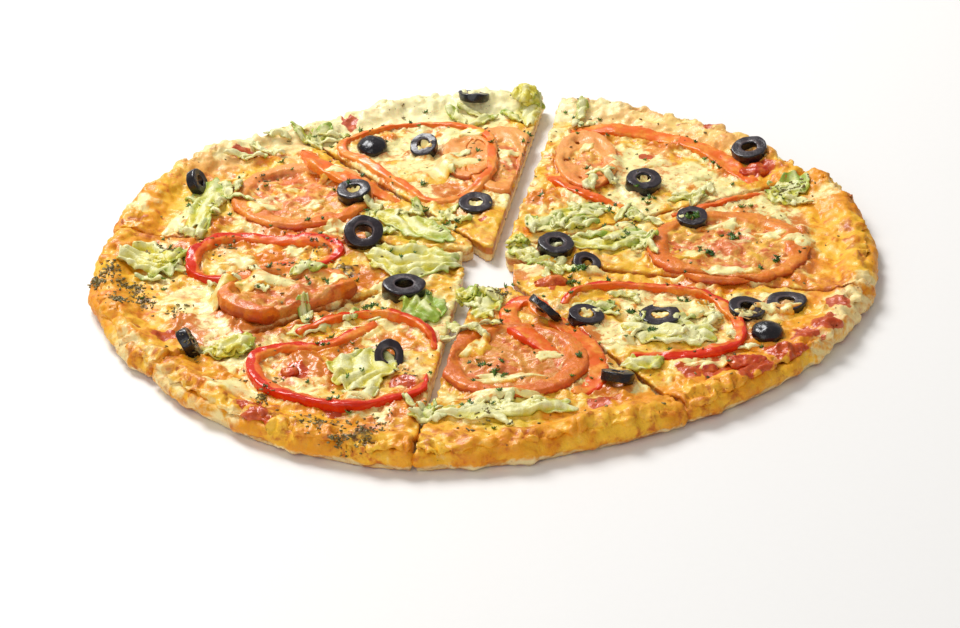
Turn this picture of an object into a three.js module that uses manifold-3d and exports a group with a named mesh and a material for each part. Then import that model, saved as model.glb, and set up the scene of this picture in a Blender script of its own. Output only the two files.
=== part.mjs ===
// A vegetarian pizza, 31 cm across, cut into eight slices that still lie in the round.
// Millimetres, +Z up, the underside on z = 0. Plan positions are counted from the spot where the cuts meet;
// the last lines move the origin to the middle of the pizza's underside.

import * as THREE from "three";
import { mergeVertices } from "three/addons/utils/BufferGeometryUtils.js";
import Module from "manifold-3d";

const wasm = await Module();
wasm.setup();

// ---- Driving dimensions ------------------------------------------------------------------------------------

const RIM_CENTRE = [0, -4]; // the middle of the round outline
const RIM_HEIGHT = 9.6; // the baked edge at its crown, without the cheese on it
const RIM_CROWN = 7; // how far in from the outline the crown stands
const RIM_FOOT = 16; // where the edge has come down to the flat dough
const RIM_UNEVEN = 1.3; // how much the edge rises and falls
const DOUGH = 3.9; // the flat dough inside the edge
const CHEESE = 2.3; // melted cheese on the flat dough
const CHEESE_ON_RIM = 1.1; // melted cheese on the crown
const CHEESE_LIP = 0.6; // its thickness where it ends, just outside the crown
const CHEESE_UNEVEN = 0.7; // bubbles and hollows of the cheese
const CHEESE_EDGE = 3.4; // how far in from the outline the cheese ends
const GAP = 0.3; // clearance between pieces that touch

const SPACE_BELOW = 3; // how far under a piece its space reaches
const TRIM = 0.2; // how far a topping ends inside the knife cuts of its slice

const SLICE_COLUMNS = 8; // sections across a slice
const FLAT_ROWS = [0.2, 0.45, 0.72, 1]; // rows of the flat part, from the edge's foot to the tip
const MERGE = 1e-4; // points closer than this are one

const OLIVE_SIDES = 10;
const TOMATO_SIDES = 16;
const TOMATO_CHAMBERS = 5;
const PEPPER_STEP = 10.5; // length of one straight stretch of a pepper strip

// ---- The slices --------------------------------------------------------------------------------------------

// angles: where the two cuts meet the outline, in degrees about RIM_CENTRE. radii: the outline's radius at the
// first cut, half way and at the last cut. tip: the two corners of the blunt tip, first cut first.
const SLICES = {
  right: { angles: [-14.8, 24.2], radii: [157, 159, 161], tip: [[10.5, -8], [9.5, -1.5]] },
  back_right: { angles: [25.2, 75.8], radii: [154, 153.5, 153], tip: [[13, 3], [11, 9]] },
  back: { angles: [79, 123.5], radii: [153.5, 151, 143], tip: [[4.5, 1.5], [1.5, 2]] },
  back_left: { angles: [124.3, 169.8], radii: [150, 156, 153], tip: [[-3, 4.5], [-6, 1]] },
  left: { angles: [170.6, 214.2], radii: [153, 157, 154], tip: [[-8, -1.2], [-8, -9.5]] },
  front_left: { angles: [215.8, 260.1], radii: [154.5, 158.5, 160], tip: [[-8, -11.5], [-7.5, -20]] },
  front: { angles: [260.7, 299.8], radii: [160, 152, 148.5], tip: [[-3.5, -36], [11, -31.5]] },
  front_right: { angles: [300.5, 344.6], radii: [148, 152, 156.5], tip: [[12.5, -28.5], [12.5, -12]] },
};

// ---- The toppings ------------------------------------------------------------------------------------------

// Tomato slices. at: centre. radii: half its extent along X and Y. thick: its height. Each lies on the slices
// named, and a knife that went through it leaves a piece on each.
const TOMATOES = [
  { names: { back_left: "tomato_back_left" }, at: [-75, 50], radii: [31, 31], thick: 3.6 },
  { names: { back: "tomato_back_side" }, at: [10, 82], radii: [17, 34], thick: 3 },
  { names: { back: "tomato_back_small" }, at: [-5, 85], radii: [12, 22], thick: 2.8 },
  { names: { back_right: "tomato_back_right" }, at: [46, 80], radii: [14, 29], thick: 3.2 },
  {
    names: { right: "tomato_right", front_right: "tomato_front_right" },
    at: [100, -5], radii: [34, 32], thick: 3.6,
  },
  { names: { front: "tomato_front" }, at: [11, -94], radii: [30, 29], thick: 3.8 },
  { names: { left: "tomato_left" }, at: [-77, -42], radii: [29, 22], thick: 8.5 },
];

// Strips and rings of pepper wall. path: plan points. width: across. height: up from what it lies on.
const PEPPERS = [
  {
    name: "pepper_back_ring", slice: "back", width: 3.8, height: 3.8, closed: true,
    path: [[-60, 100], [-48, 112], [-30, 119], [-10, 115], [3, 104], [6, 84], [3, 62], [-7, 49], [-20, 43],
      [-31, 56], [-47, 78]],
  },
  {
    name: "pepper_back_left", slice: "back_left", width: 8, height: 3.8,
    path: [[-76, 97], [-69, 74], [-51, 57], [-34, 45]],
  },
  {
    name: "pepper_back_left_end", slice: "back_left", width: 7, height: 4.5,
    path: [[-80, 18], [-70, 14.5], [-59, 13]],
  },
  {
    name: "pepper_left_ring", slice: "left", width: 4.8, height: 4.8, closed: true,
    path: [[-103, 11], [-113, 4], [-116, -8], [-114, -20], [-100, -25], [-90, -18], [-83, -12], [-72, -12],
      [-62, -8], [-58, 0], [-66, 5], [-85, 9]],
  },
  {
    name: "pepper_front_left_ring", slice: "front_left", width: 5, height: 4.6,
    path: [[-42, -62], [-50, -71], [-62, -79], [-76, -81], [-87, -88], [-86, -101], [-79, -113], [-65, -122],
      [-50, -126], [-35, -121], [-24, -114], [-22, -103]],
  },
  {
    name: "pepper_front_left_arc", slice: "front_left", width: 4, height: 4.4,
    path: [[-72, -68], [-60, -60], [-48, -55], [-37, -57], [-27, -63], [-20, -72], [-19, -82]],
  },
  {
    name: "pepper_front", slice: "front", width: 8.5, height: 4,
    path: [[28, -90], [16, -76], [10, -62], [11, -51], [17, -45], [24, -53], [32, -69], [39, -83], [43, -97],
      [42, -110], [34, -119]],
  },
  {
    name: "pepper_front_right_ring", slice: "front_right", width: 4.6, height: 4.6,
    path: [[31, -49], [37, -40], [50, -35], [66, -37], [86, -44], [96, -56], [100, -72], [98, -83], [88, -90],
      [70, -92], [56, -91]],
  },
  {
    name: "pepper_back_right_thin", slice: "back_right", width: 4, height: 3.6,
    path: [[28, 71], [35, 56], [45, 46], [56, 38], [67, 31]],
  },
  {
    name: "pepper_back_right_wide", slice: "back_right", width: 8.5, height: 3.8,
    path: [[40, 112], [60, 110], [80, 103], [97, 88], [109, 71], [117, 56]],
  },
  {
    name: "pepper_right", slice: "right", width: 4.2, height: 4.4,
    path: [[79, 26.5], [94, 33.5], [107, 40], [117, 45]],
  },
];

// Olives. at: centre. radius: outer. lean: degrees about X, then about Y, from lying flat. turn: about Z.
// rings are slices with the stone's hole; caps are a rounded end without one.
const OLIVES = [
  { at: [-2, 141], radius: 7.2, thick: 3.4, lean: [-16, 4] },
  { at: [-47, 97], radius: 7.2, thick: 6, cap: true },
  { at: [-24, 93], radius: 6.3, thick: 4.2, lean: [24, -14] },
  { at: [-2, 39], radius: 7.7, thick: 3.8, lean: [4, 0] },
  { at: [-120, 60], radius: 6, thick: 4, lean: [10, 58] },
  { at: [-53, 46], radius: 7.3, thick: 5, lean: [8, -6] },
  { at: [-48, 5], radius: 8, thick: 7, lean: [34, 4] },
  { at: [-31, -38], radius: 8.4, thick: 6.6, lean: [3, 2] },
  { at: [-113, -80], radius: 6.2, thick: 4.6, lean: [8, 62], turn: 20 },
  { at: [-36, -89], radius: 6, thick: 4.2, lean: [48, 8], sink: 3.2 },
  { at: [116, 79], radius: 7.7, thick: 4.6, lean: [10, -8] },
  { at: [69, 55], radius: 8.1, thick: 5.6, lean: [4, 4] },
  { at: [87, 19], radius: 6.9, thick: 3.8, lean: [6, 0] },
  { at: [30, -3], radius: 8, thick: 5, lean: [4, 6] },
  { at: [42, -16.5], radius: 6, thick: 3.6, lean: [12, 10], slice: "front_right" },
  { at: [40, -61], radius: 6.9, thick: 3.6, lean: [4, 10] },
  { at: [69, -61], radius: 8, thick: 3.6, lean: [3, 0] },
  { at: [24.5, -58.5], radius: 7.6, thick: 2.8, lean: [0, 52], turn: 32, sink: 2.5 },
  { at: [119, -52], radius: 7.6, thick: 3.4, lean: [2, -4] },
  { at: [103, -58], radius: 7.6, thick: 3.2, lean: [4, 6] },
  { at: [109, -77], radius: 6.6, thick: 6, cap: true },
  { at: [50, -110], radius: 6.4, thick: 3.8, lean: [-22, 8] },
];

// Cabbage. at: centre. size: along the leaf and across it. turn: degrees about Z. wave: height of its ripples.
// Leaves are pieces of their own; melted ones are fused to the cheese under them.
const LEAVES = [
  { name: "cabbage_left_tip", slice: "left", at: [-27.5, -10], size: [38, 25], turn: -14, wave: 1.6 },
  { name: "cabbage_left_rim", slice: "left", at: [-134, -7], size: [27, 21], turn: -38, wave: 1.8 },
  { name: "cabbage_front_left", slice: "front_left", at: [-46, -99], size: [28, 21], turn: 78, wave: 1.2 },
];
const MELTED_LEAVES = [
  { slice: "back_left", at: [-115, 45], size: [46, 14], turn: 80, wave: 0.9 },
  { slice: "back_left", at: [-28, 20], size: [42, 13], turn: -42, wave: 0.9 },
  { slice: "front", at: [8, -131], size: [50, 11], turn: 3, wave: 1.1 },
  { slice: "front", at: [2, -49], size: [20, 10], turn: 62, wave: 0.8 },
  { slice: "front_right", at: [72, -72], size: [36, 20], turn: -18, wave: 0.8 },
  { slice: "front_left", at: [-24, -48], size: [22, 15], turn: -70, wave: 1 },
  { slice: "right", at: [52, 4], size: [34, 15], turn: 12, wave: 0.9 },
  { slice: "back_right", at: [129, 46], size: [24, 14], turn: 62, wave: 0.9 },
  { slice: "back_right", at: [36, 26], size: [36, 13], turn: 36, wave: 0.8 },
];
const LEAF_THICKNESS = 1.1;

// ---- Materials ---------------------------------------------------------------------------------------------

const finish = (color, roughness) => new THREE.MeshStandardMaterial({ color, roughness, metalness: 0 });
const CRUST_COLOUR = finish(0xe9c98a, 0.8);
const CHEESE_COLOUR = finish(0xf0d48c, 0.45);
const OLIVE_COLOUR = finish(0x241c22, 0.3);
const TOMATO_COLOUR = finish(0xe0793a, 0.35);
const PEPPER_COLOUR = finish(0xd63413, 0.3);
const CABBAGE_COLOUR = finish(0xc9d27c, 0.5);

// ---- Solids ------------------------------------------------------------------------------------------------

// A closed geometry, its vertices shared, as a solid with its faces turned outwards.
function solidFrom(geometry) {
  const corners = geometry.index.array;
  const faces = [];
  for (let i = 0; i < corners.length; i += 3) {
    const face = [corners[i], corners[i + 1], corners[i + 2]];
    if (new Set(face).size === 3) faces.push(...face);
  }
  const made = () => new wasm.Manifold(new wasm.Mesh({
    numProp: 3,
    vertProperties: geometry.attributes.position.array,
    triVerts: new Uint32Array(faces),
  }));
  if (made().volume() < 0) faces.reverse();
  return made();
}

function geometryFrom(solid) {
  const { vertProperties, triVerts } = solid.getMesh();
  const geometry = new THREE.BufferGeometry();
  geometry.setAttribute("position", new THREE.BufferAttribute(new Float32Array(vertProperties), 3));
  geometry.setIndex(new THREE.BufferAttribute(new Uint32Array(triVerts), 1));
  geometry.computeVertexNormals();
  return geometry;
}

// The triangles of a flat ring of points, in the ring's own sense of turning.
function capFaces(ring, offset) {
  const normal = new THREE.Vector3();
  ring.forEach((point, i) => normal.add(point.clone().cross(ring[(i + 1) % ring.length])));
  normal.normalize();
  const across = ring[1].clone().sub(ring[0]).projectOnPlane(normal).normalize();
  const up = normal.clone().cross(across);
  const flat = ring.map((point) => new THREE.Vector2(point.dot(across), point.dot(up)));
  const faces = THREE.ShapeUtils.triangulateShape(flat, []);
  const area = THREE.ShapeUtils.area(flat);
  const covered = faces.reduce((sum, face) => sum + THREE.ShapeUtils.area(face.map((i) => flat[i])), 0);
  return faces.map((face) => {
    const turnedOn = face.map((i) => i + offset);
    return area * covered > 0 ? turnedOn : turnedOn.reverse();
  });
}

// A closed geometry through rings of points of equal number: capped at both ends, or joined into a loop.
function loft(rings, loop = false) {
  const count = rings[0].length;
  const index = [];
  const spans = loop ? rings.length : rings.length - 1;
  for (let i = 0; i < spans; i++) {
    const here = i * count;
    const next = ((i + 1) % rings.length) * count;
    for (let j = 0; j < count; j++) {
      const k = (j + 1) % count;
      index.push(here + j, next + j, next + k, here + j, next + k, here + k);
    }
  }
  if (!loop) {
    capFaces(rings[0], 0).forEach((face) => index.push(...face));
    capFaces(rings.at(-1), (rings.length - 1) * count).forEach((face) => index.push(...face.reverse()));
  }
  const geometry = new THREE.BufferGeometry().setFromPoints(rings.flat());
  return geometry.setIndex(index);
}

// A profile of [radius, height] pairs turned round the upright axis.
function turned(profile, sides) {
  const lathe = new THREE.LatheGeometry(profile.map(([radius, height]) => new THREE.Vector2(radius, height)), sides);
  lathe.deleteAttribute("normal");
  lathe.deleteAttribute("uv");
  return mergeVertices(lathe, MERGE).rotateX(Math.PI / 2);
}

// The largest body of a cut solid, without the scraps and slivers that a cut can leave.
function mainBody(solid) {
  const bodies = solid.decompose();
  return bodies.reduce((best, body) => (body.volume() > best.volume() ? body : best));
}

const overlaps = (a, b) => {
  const [one, two] = [a.boundingBox(), b.boundingBox()];
  return [0, 1, 2].every((i) => one.min[i] < two.max[i] && two.min[i] < one.max[i]);
};

// ---- Laying pieces down ------------------------------------------------------------------------------------

const pizza = new THREE.Group();
const spaces = []; // the space that each piece so far takes up, a gap larger than the piece

function keep(name, solid, material) {
  const mesh = new THREE.Mesh(geometryFrom(solid), material);
  mesh.name = name;
  pizza.add(mesh);
}

// Cuts a topping clear of the slices and of the toppings under it, and along the knife cuts of its slice.
// shape makes its geometry, larger all round by what it is given.
function lay(name, shape, material, slice) {
  const cut = (grow) => {
    const whole = solidFrom(shape(grow));
    return slice ? trimToSlice(whole, SLICES[slice]) : whole;
  };
  let solid = cut(0);
  for (const space of spaces) {
    if (overlaps(solid, space)) solid = solid.subtract(space);
  }
  spaces.push(cut(GAP));
  keep(name, mainBody(solid), material);
}

// The height of what lies at a spot of the plan, or of the cheese where the spot is in a cut.
const probe = new THREE.Raycaster(new THREE.Vector3(), new THREE.Vector3(0, 0, -1));
const PROBE_START = 60;
function heightAt(x, y) {
  probe.ray.origin.set(x, y, PROBE_START);
  const hit = probe.intersectObject(pizza, true)[0];
  return hit ? hit.point.z : DOUGH + CHEESE;
}

// The mean height under a round patch.
const PATCH_POINTS = 6;
function restingHeight([x, y], radius) {
  let sum = heightAt(x, y);
  for (let i = 0; i < PATCH_POINTS; i++) {
    const angle = (i * 2 * Math.PI) / PATCH_POINTS;
    sum += heightAt(x + radius * Math.cos(angle), y + radius * Math.sin(angle));
  }
  return sum / (PATCH_POINTS + 1);
}

// ---- Dough and cheese --------------------------------------------------------------------------------------

// A smooth uneven pattern between -1 and 1, with hills about pitch apart.
function ripple(x, y, pitch) {
  const turn = (2 * Math.PI) / pitch;
  const bend = Math.sin(0.63 * turn * y + 1.1) + Math.sin(0.41 * turn * x - 0.7);
  return 0.5 * (Math.sin(turn * x + bend) + Math.sin(turn * 0.87 * y - bend + 2.3));
}

const polar = (angle, radius) => new THREE.Vector3(
  RIM_CENTRE[0] + radius * Math.cos(THREE.MathUtils.degToRad(angle)),
  RIM_CENTRE[1] + radius * Math.sin(THREE.MathUtils.degToRad(angle)), 0);

// A point of a slice's outline, share of the way from its first cut to its last.
const RIM_WANDER = 0.9;
function rimPoint({ angles, radii: [first, middle, last] }, share) {
  const angle = THREE.MathUtils.lerp(...angles, share);
  const through = first * (1 - share) * (1 - 2 * share) + middle * 4 * share * (1 - share)
    + last * share * (2 * share - 1);
  return polar(angle, through + RIM_WANDER * ripple(angle, 0, 17));
}

// The dough's height a distance in from the outline.
function doughHeight(inset, { x, y }) {
  const crown = RIM_HEIGHT + RIM_UNEVEN * ripple(x, y, 44);
  if (inset < RIM_CROWN) {
    const fall = (RIM_CROWN - inset) / (RIM_CROWN + 0.6);
    return crown * Math.sqrt(1 - fall * fall);
  }
  return DOUGH + (crown - DOUGH) * (1 - THREE.MathUtils.smoothstep(inset, RIM_CROWN, RIM_FOOT));
}

function cheeseThickness(inset, { x, y }) {
  const onRim = THREE.MathUtils.mapLinear(Math.min(inset, RIM_CROWN), 0, RIM_CROWN, 0.2, CHEESE_ON_RIM);
  const flat = CHEESE + CHEESE_UNEVEN * ripple(x, y, 38);
  return Math.max(CHEESE_LIP, THREE.MathUtils.lerp(onRim, flat,
    THREE.MathUtils.smoothstep(inset, RIM_CROWN, RIM_FOOT)));
}

// The upright section of a slice, share of the way round it: points on the dough, from the outline to the tip.
function sliceSection(slice, share) {
  const rim = rimPoint(slice, share);
  const [first, last] = slice.tip.map(([x, y]) => new THREE.Vector3(x, y, 0));
  const tip = first.lerp(last, share);
  const length = rim.distanceTo(tip);
  const edge = CHEESE_EDGE + ripple(rim.x, rim.y, 26);
  const insets = [0.8, edge, RIM_CROWN, 11.2, RIM_FOOT,
    ...FLAT_ROWS.map((row) => THREE.MathUtils.lerp(RIM_FOOT, length, row))];
  return insets.map((inset) => {
    const point = rim.clone().lerp(tip, inset / length);
    return { inset, point: point.setZ(doughHeight(inset, point)) };
  });
}

const FLARE = 0.35; // the outline's widest point, as a share of the height of the edge
function crustGeometry(slice) {
  const rings = [];
  for (let column = 0; column <= SLICE_COLUMNS; column++) {
    const share = column / SLICE_COLUMNS;
    const top = sliceSection(slice, share).map(({ point }) => point);
    const tip = top.at(-1).clone().setZ(0);
    const rim = rimPoint(slice, share);
    const foot = rim.clone().lerp(tip, 1.6 / rim.distanceTo(tip));
    rings.push([...top, tip, foot, rim.setZ(RIM_HEIGHT * FLARE)]);
  }
  return loft(rings);
}

function cheeseGeometry(slice) {
  const rings = [];
  for (let column = 0; column <= SLICE_COLUMNS; column++) {
    const rows = sliceSection(slice, column / SLICE_COLUMNS).slice(1);
    const under = rows.map(({ point }) => point.clone().setZ(point.z + GAP));
    const over = rows.map(({ inset, point }) =>
      point.clone().setZ(point.z + GAP + cheeseThickness(inset, point)));
    rings.push([...under, ...over.reverse()]);
  }
  return loft(rings);
}

// The space that a slice takes up, from well below it to a gap above it.
function spaceGeometry(slice) {
  const rings = [];
  for (let column = 0; column <= SLICE_COLUMNS; column++) {
    const share = column / SLICE_COLUMNS;
    const top = sliceSection(slice, share).map(({ inset, point }, row) =>
      point.clone().setZ(point.z + (row ? 2 * GAP + cheeseThickness(inset, point) : GAP)));
    const tip = top.at(-1).clone().setZ(-SPACE_BELOW);
    const rim = rimPoint(slice, share);
    rings.push([rim.clone().setZ(RIM_HEIGHT * FLARE), rim.setZ(-SPACE_BELOW), tip, ...top.reverse()]);
  }
  return loft(rings);
}

// Keeps what lies between a slice's two cuts, less a hair at each.
function trimToSlice(solid, slice) {
  const [first, last] = slice.tip.map(([x, y]) => new THREE.Vector3(x, y, 0));
  const along = rimPoint(slice, 0).sub(first).normalize();
  const back = rimPoint(slice, 1).sub(last).normalize();
  const inFirst = [-along.y, along.x, 0];
  const inLast = [back.y, -back.x, 0];
  return solid
    .trimByPlane(inFirst, first.dot(new THREE.Vector3(...inFirst)) + TRIM)
    .trimByPlane(inLast, last.dot(new THREE.Vector3(...inLast)) + TRIM);
}

// ---- Cabbage -----------------------------------------------------------------------------------------------

const ORIGIN = new THREE.Vector2(0, 0);

// A thin wavy leaf: the same triangles above and below, joined round the edge.
function leafGeometry({ at: [x, y], size: [length, width], turn, wave }, [columns, rows], lift, grow) {
  const sheet = new THREE.PlaneGeometry(1, 1, columns, rows);
  const faces = Array.from(sheet.index.array);
  const position = sheet.attributes.position;
  const count = position.count;
  const angle = THREE.MathUtils.degToRad(turn);
  const top = [];
  for (let i = 0; i < count; i++) {
    const u = position.getX(i);
    const v = position.getY(i);
    const rounding = Math.sqrt(1 - Math.pow(Math.abs(2 * u), 3) * 0.55);
    const fringe = 1 + 0.13 * Math.sin(9 * u + 4 * v);
    const along = u * length * (1 - 0.5 * v * v);
    const across = v * width * rounding * fringe;
    const spot = new THREE.Vector2(along, across).rotateAround(ORIGIN, angle).add(new THREE.Vector2(x, y));
    const out = new THREE.Vector2(2 * u * grow, 2 * v * grow).rotateAround(ORIGIN, angle);
    const curl = wave * (Math.sin(11 * u + 3 * v) * (0.35 + Math.abs(v)) + 1.6 * v * v);
    top.push(new THREE.Vector3(spot.x + out.x, spot.y + out.y, heightAt(spot.x, spot.y) + lift + curl + grow));
  }
  const thickness = LEAF_THICKNESS + (grow ? SPACE_BELOW : 0);
  const under = top.map((point) => point.clone().setZ(point.z - thickness));
  const index = [...faces];
  for (let i = 0; i < faces.length; i += 3) {
    index.push(faces[i] + count, faces[i + 2] + count, faces[i + 1] + count);
  }
  const edge = [];
  for (let i = 0; i < columns; i++) edge.push(i);
  for (let i = 0; i < rows; i++) edge.push(i * (columns + 1) + columns);
  for (let i = columns; i > 0; i--) edge.push(rows * (columns + 1) + i);
  for (let i = rows; i > 0; i--) edge.push(i * (columns + 1));
  edge.forEach((here, i) => {
    const next = edge[(i + 1) % edge.length];
    index.push(here, next, next + count, here, next + count, here + count);
  });
  return new THREE.BufferGeometry().setFromPoints([...top, ...under]).setIndex(index);
}

// ---- Tomatoes, peppers and olives --------------------------------------------------------------------------

// From the middle of the underside round the skin to the middle of the top: share of the radius, of the height.
const TOMATO_PROFILE = [[0, 0], [0.9, 0], [1, 0.45], [0.95, 0.95], [0.8, 1], [0.68, 0.72], [0.36, 0.72], [0, 0.95]];
const CHAMBER_ROWS = [0.5, 0.75]; // shares of the radius between which the seed chambers lie
const CHAMBER_DEPTH = 0.28;
function tomatoGeometry({ at, radii, thick }, grow) {
  const disc = turned(TOMATO_PROFILE, TOMATO_SIDES);
  const position = disc.attributes.position;
  for (let i = 0; i < position.count; i++) {
    const [x, y] = [position.getX(i), position.getY(i)];
    const radius = Math.hypot(x, y);
    const inChamber = radius > CHAMBER_ROWS[0] && radius < CHAMBER_ROWS[1];
    const wall = inChamber ? CHAMBER_DEPTH * Math.cos(TOMATO_CHAMBERS * Math.atan2(y, x)) : 0;
    const spot = [at[0] + x * radii[0], at[1] + y * radii[1]];
    const top = (position.getZ(i) + wall) * thick + grow;
    const height = grow && position.getZ(i) < MERGE ? -SPACE_BELOW : top;
    position.setXYZ(i, spot[0] + x * grow, spot[1] + y * grow,
      restingHeight(spot, TOMATO_STIFFNESS) - TOMATO_SINK + height);
  }
  return disc;
}
const TOMATO_SINK = 0.9;
const TOMATO_STIFFNESS = 9; // how wide a hollow it bridges

// Share of the width and of the height: a wall with its outer skin rounded over.
const PEPPER_SECTION = [[-0.5, 0], [-0.5, 0.72], [-0.18, 1], [0.24, 0.96], [0.5, 0.62], [0.46, 0]];
const PEPPER_SINK = 1;
function pepperGeometry({ path, width, height, closed = false }, grow) {
  const curve = new THREE.CatmullRomCurve3(path.map(([x, y]) => new THREE.Vector3(x, y, 0)), closed);
  const steps = Math.round(curve.getLength() / PEPPER_STEP);
  const last = closed ? steps - 1 : steps;
  const rests = [];
  for (let i = 0; i <= last; i++) {
    const point = curve.getPointAt(i / steps);
    rests.push(heightAt(point.x, point.y));
  }
  const rings = rests.map((rest, i) => {
    const before = rests.at(closed ? i - 1 : Math.max(i - 1, 0));
    const after = rests[closed ? (i + 1) % rests.length : Math.min(i + 1, last)];
    const floor = (before + 2 * rest + after) / 4 - PEPPER_SINK;
    const point = curve.getPointAt(i / steps);
    const tangent = curve.getTangentAt(i / steps);
    return PEPPER_SECTION.map(([share, up]) => {
      const across = share * (width + 2 * grow);
      const rise = up ? up * height + grow : grow && -SPACE_BELOW;
      return new THREE.Vector3(point.x - tangent.y * across, point.y + tangent.x * across, floor + rise);
    });
  });
  return loft(rings, closed);
}

// Shares of the outer radius and of half the thickness.
const OLIVE_RING = [[0.4, -0.9], [0.86, -1], [1, 0], [0.86, 1], [0.42, 0.9], [0.4, -0.9]];
const OLIVE_CAP = [[0, -1], [0.84, -1], [1, -0.35], [0.82, 0.45], [0.42, 0.9], [0, 1]];
const OLIVE_SINK = 0.9;
function oliveGeometry({ at, radius, thick, lean = [0, 0], turn = 0, cap = false, sink = OLIVE_SINK }, grow) {
  const profile = (cap ? OLIVE_CAP : OLIVE_RING).map(([share, up]) =>
    [share * (radius + grow), up * (thick / 2 + grow)]);
  const [aboutX, aboutY] = lean.map(THREE.MathUtils.degToRad);
  const slope = Math.max(Math.abs(aboutX), Math.abs(aboutY));
  const halfHeight = radius * Math.sin(slope) + (thick / 2) * Math.cos(slope);
  return turned(profile, OLIVE_SIDES)
    .rotateX(aboutX).rotateY(aboutY).rotateZ(THREE.MathUtils.degToRad(turn))
    .translate(at[0], at[1], restingHeight(at, radius * Math.cos(slope)) + halfHeight - sink);
}

// ---- The whole ---------------------------------------------------------------------------------------------

const crusts = {};
const cheeses = {};
for (const [side, slice] of Object.entries(SLICES)) {
  crusts[side] = solidFrom(crustGeometry(slice));
  cheeses[side] = solidFrom(cheeseGeometry(slice));
  keep(`crust_${side}`, crusts[side], CRUST_COLOUR);
  keep(`cheese_${side}`, cheeses[side], CHEESE_COLOUR);
}

// The melted cabbage is joined to the cheese before anything lies on it.
const MELTED_GRID = [3, 2];
const MELTED_LIFT = 0.5;
for (const leaf of MELTED_LEAVES) {
  const [shape, space] = [0, GAP].map((grow) =>
    trimToSlice(solidFrom(leafGeometry(leaf, MELTED_GRID, MELTED_LIFT, grow)), SLICES[leaf.slice]));
  const clear = shape.subtract(crusts[leaf.slice].translate([0, 0, GAP]));
  cheeses[leaf.slice] = mainBody(cheeses[leaf.slice].add(clear));
  spaces.push(space);
}
for (const [side, slice] of Object.entries(SLICES)) {
  pizza.getObjectByName(`cheese_${side}`).geometry = geometryFrom(cheeses[side]);
  spaces.push(solidFrom(spaceGeometry(slice)));
}

for (const tomato of TOMATOES) {
  for (const [slice, name] of Object.entries(tomato.names)) {
    lay(name, (grow) => tomatoGeometry(tomato, grow), TOMATO_COLOUR, slice);
  }
}

const LEAF_GRID = [6, 4];
const LEAF_LIFT = 1;
for (const leaf of LEAVES) {
  lay(leaf.name, (grow) => leafGeometry(leaf, LEAF_GRID, LEAF_LIFT, grow), CABBAGE_COLOUR, leaf.slice);
}

for (const pepper of PEPPERS) {
  lay(pepper.name, (grow) => pepperGeometry(pepper, grow), PEPPER_COLOUR, pepper.slice);
}

OLIVES.forEach((olive, i) => {
  const number = String(i + 1).padStart(2, "0");
  lay(`olive_${number}`, (grow) => oliveGeometry(olive, grow), OLIVE_COLOUR, olive.slice);
});

// The origin goes to the middle of the underside.
const extent = new THREE.Box3().setFromObject(pizza);
const middle = extent.getCenter(new THREE.Vector3());
pizza.position.set(-middle.x, -middle.y, 0);

export default pizza;
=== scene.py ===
"""A baked vegetarian pizza in eight slices, with all its toppings, in a plain studio."""

import math
import random

import bpy
import numpy as np
from bpy.props import FloatProperty, FloatVectorProperty, IntProperty, PointerProperty
from mathutils import Euler, Matrix, Vector


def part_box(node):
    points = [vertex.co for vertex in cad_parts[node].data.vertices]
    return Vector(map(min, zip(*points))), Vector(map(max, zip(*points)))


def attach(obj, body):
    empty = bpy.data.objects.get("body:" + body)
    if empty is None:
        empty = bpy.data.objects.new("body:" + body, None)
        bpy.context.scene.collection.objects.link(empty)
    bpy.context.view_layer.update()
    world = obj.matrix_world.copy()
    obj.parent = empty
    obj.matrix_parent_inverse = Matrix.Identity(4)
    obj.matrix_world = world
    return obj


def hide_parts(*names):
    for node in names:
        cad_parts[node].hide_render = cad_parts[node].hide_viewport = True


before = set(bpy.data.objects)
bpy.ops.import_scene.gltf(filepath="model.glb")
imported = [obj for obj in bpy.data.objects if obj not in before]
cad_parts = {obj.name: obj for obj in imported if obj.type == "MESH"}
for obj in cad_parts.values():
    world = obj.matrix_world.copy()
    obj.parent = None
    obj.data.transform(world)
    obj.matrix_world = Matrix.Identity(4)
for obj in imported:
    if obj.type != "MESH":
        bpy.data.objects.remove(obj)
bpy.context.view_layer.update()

bl_info = {
    "name": "Vegetarian pizza",
    "version": (1, 0, 0),
    "blender": (4, 5, 0),
    "location": "3D View > Sidebar > Pizza",
    "description": "Bakes a sliced vegetarian pizza round its plain solids",
    "category": "Add Mesh",
}

# ---- Places and sizes, in millimetres ----

MM = 0.001
SIDES = ["right", "back_right", "back", "back_left", "left", "front_left", "front", "front_right"]
# Plan places are counted from the spot where the cuts meet, which lies here in the frame.
CUTS_MEET = np.array([-1.425, 6.251])
RIM_CENTRE = np.array([0.0, -4.0])
STREWN_OUT_TO = 156  # how far from the rim's centre grated cheese was strewn

# The photo's camera: where it stands, where it looks, its lens and how far it is rolled.
CAMERA_AT = (-1.425, -1068.02, 563.78)
CAMERA_TARGET = (-2.566, -36.217, 0.0)
CAMERA_LENS = 111.416
CAMERA_ROLL = -0.020452

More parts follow.
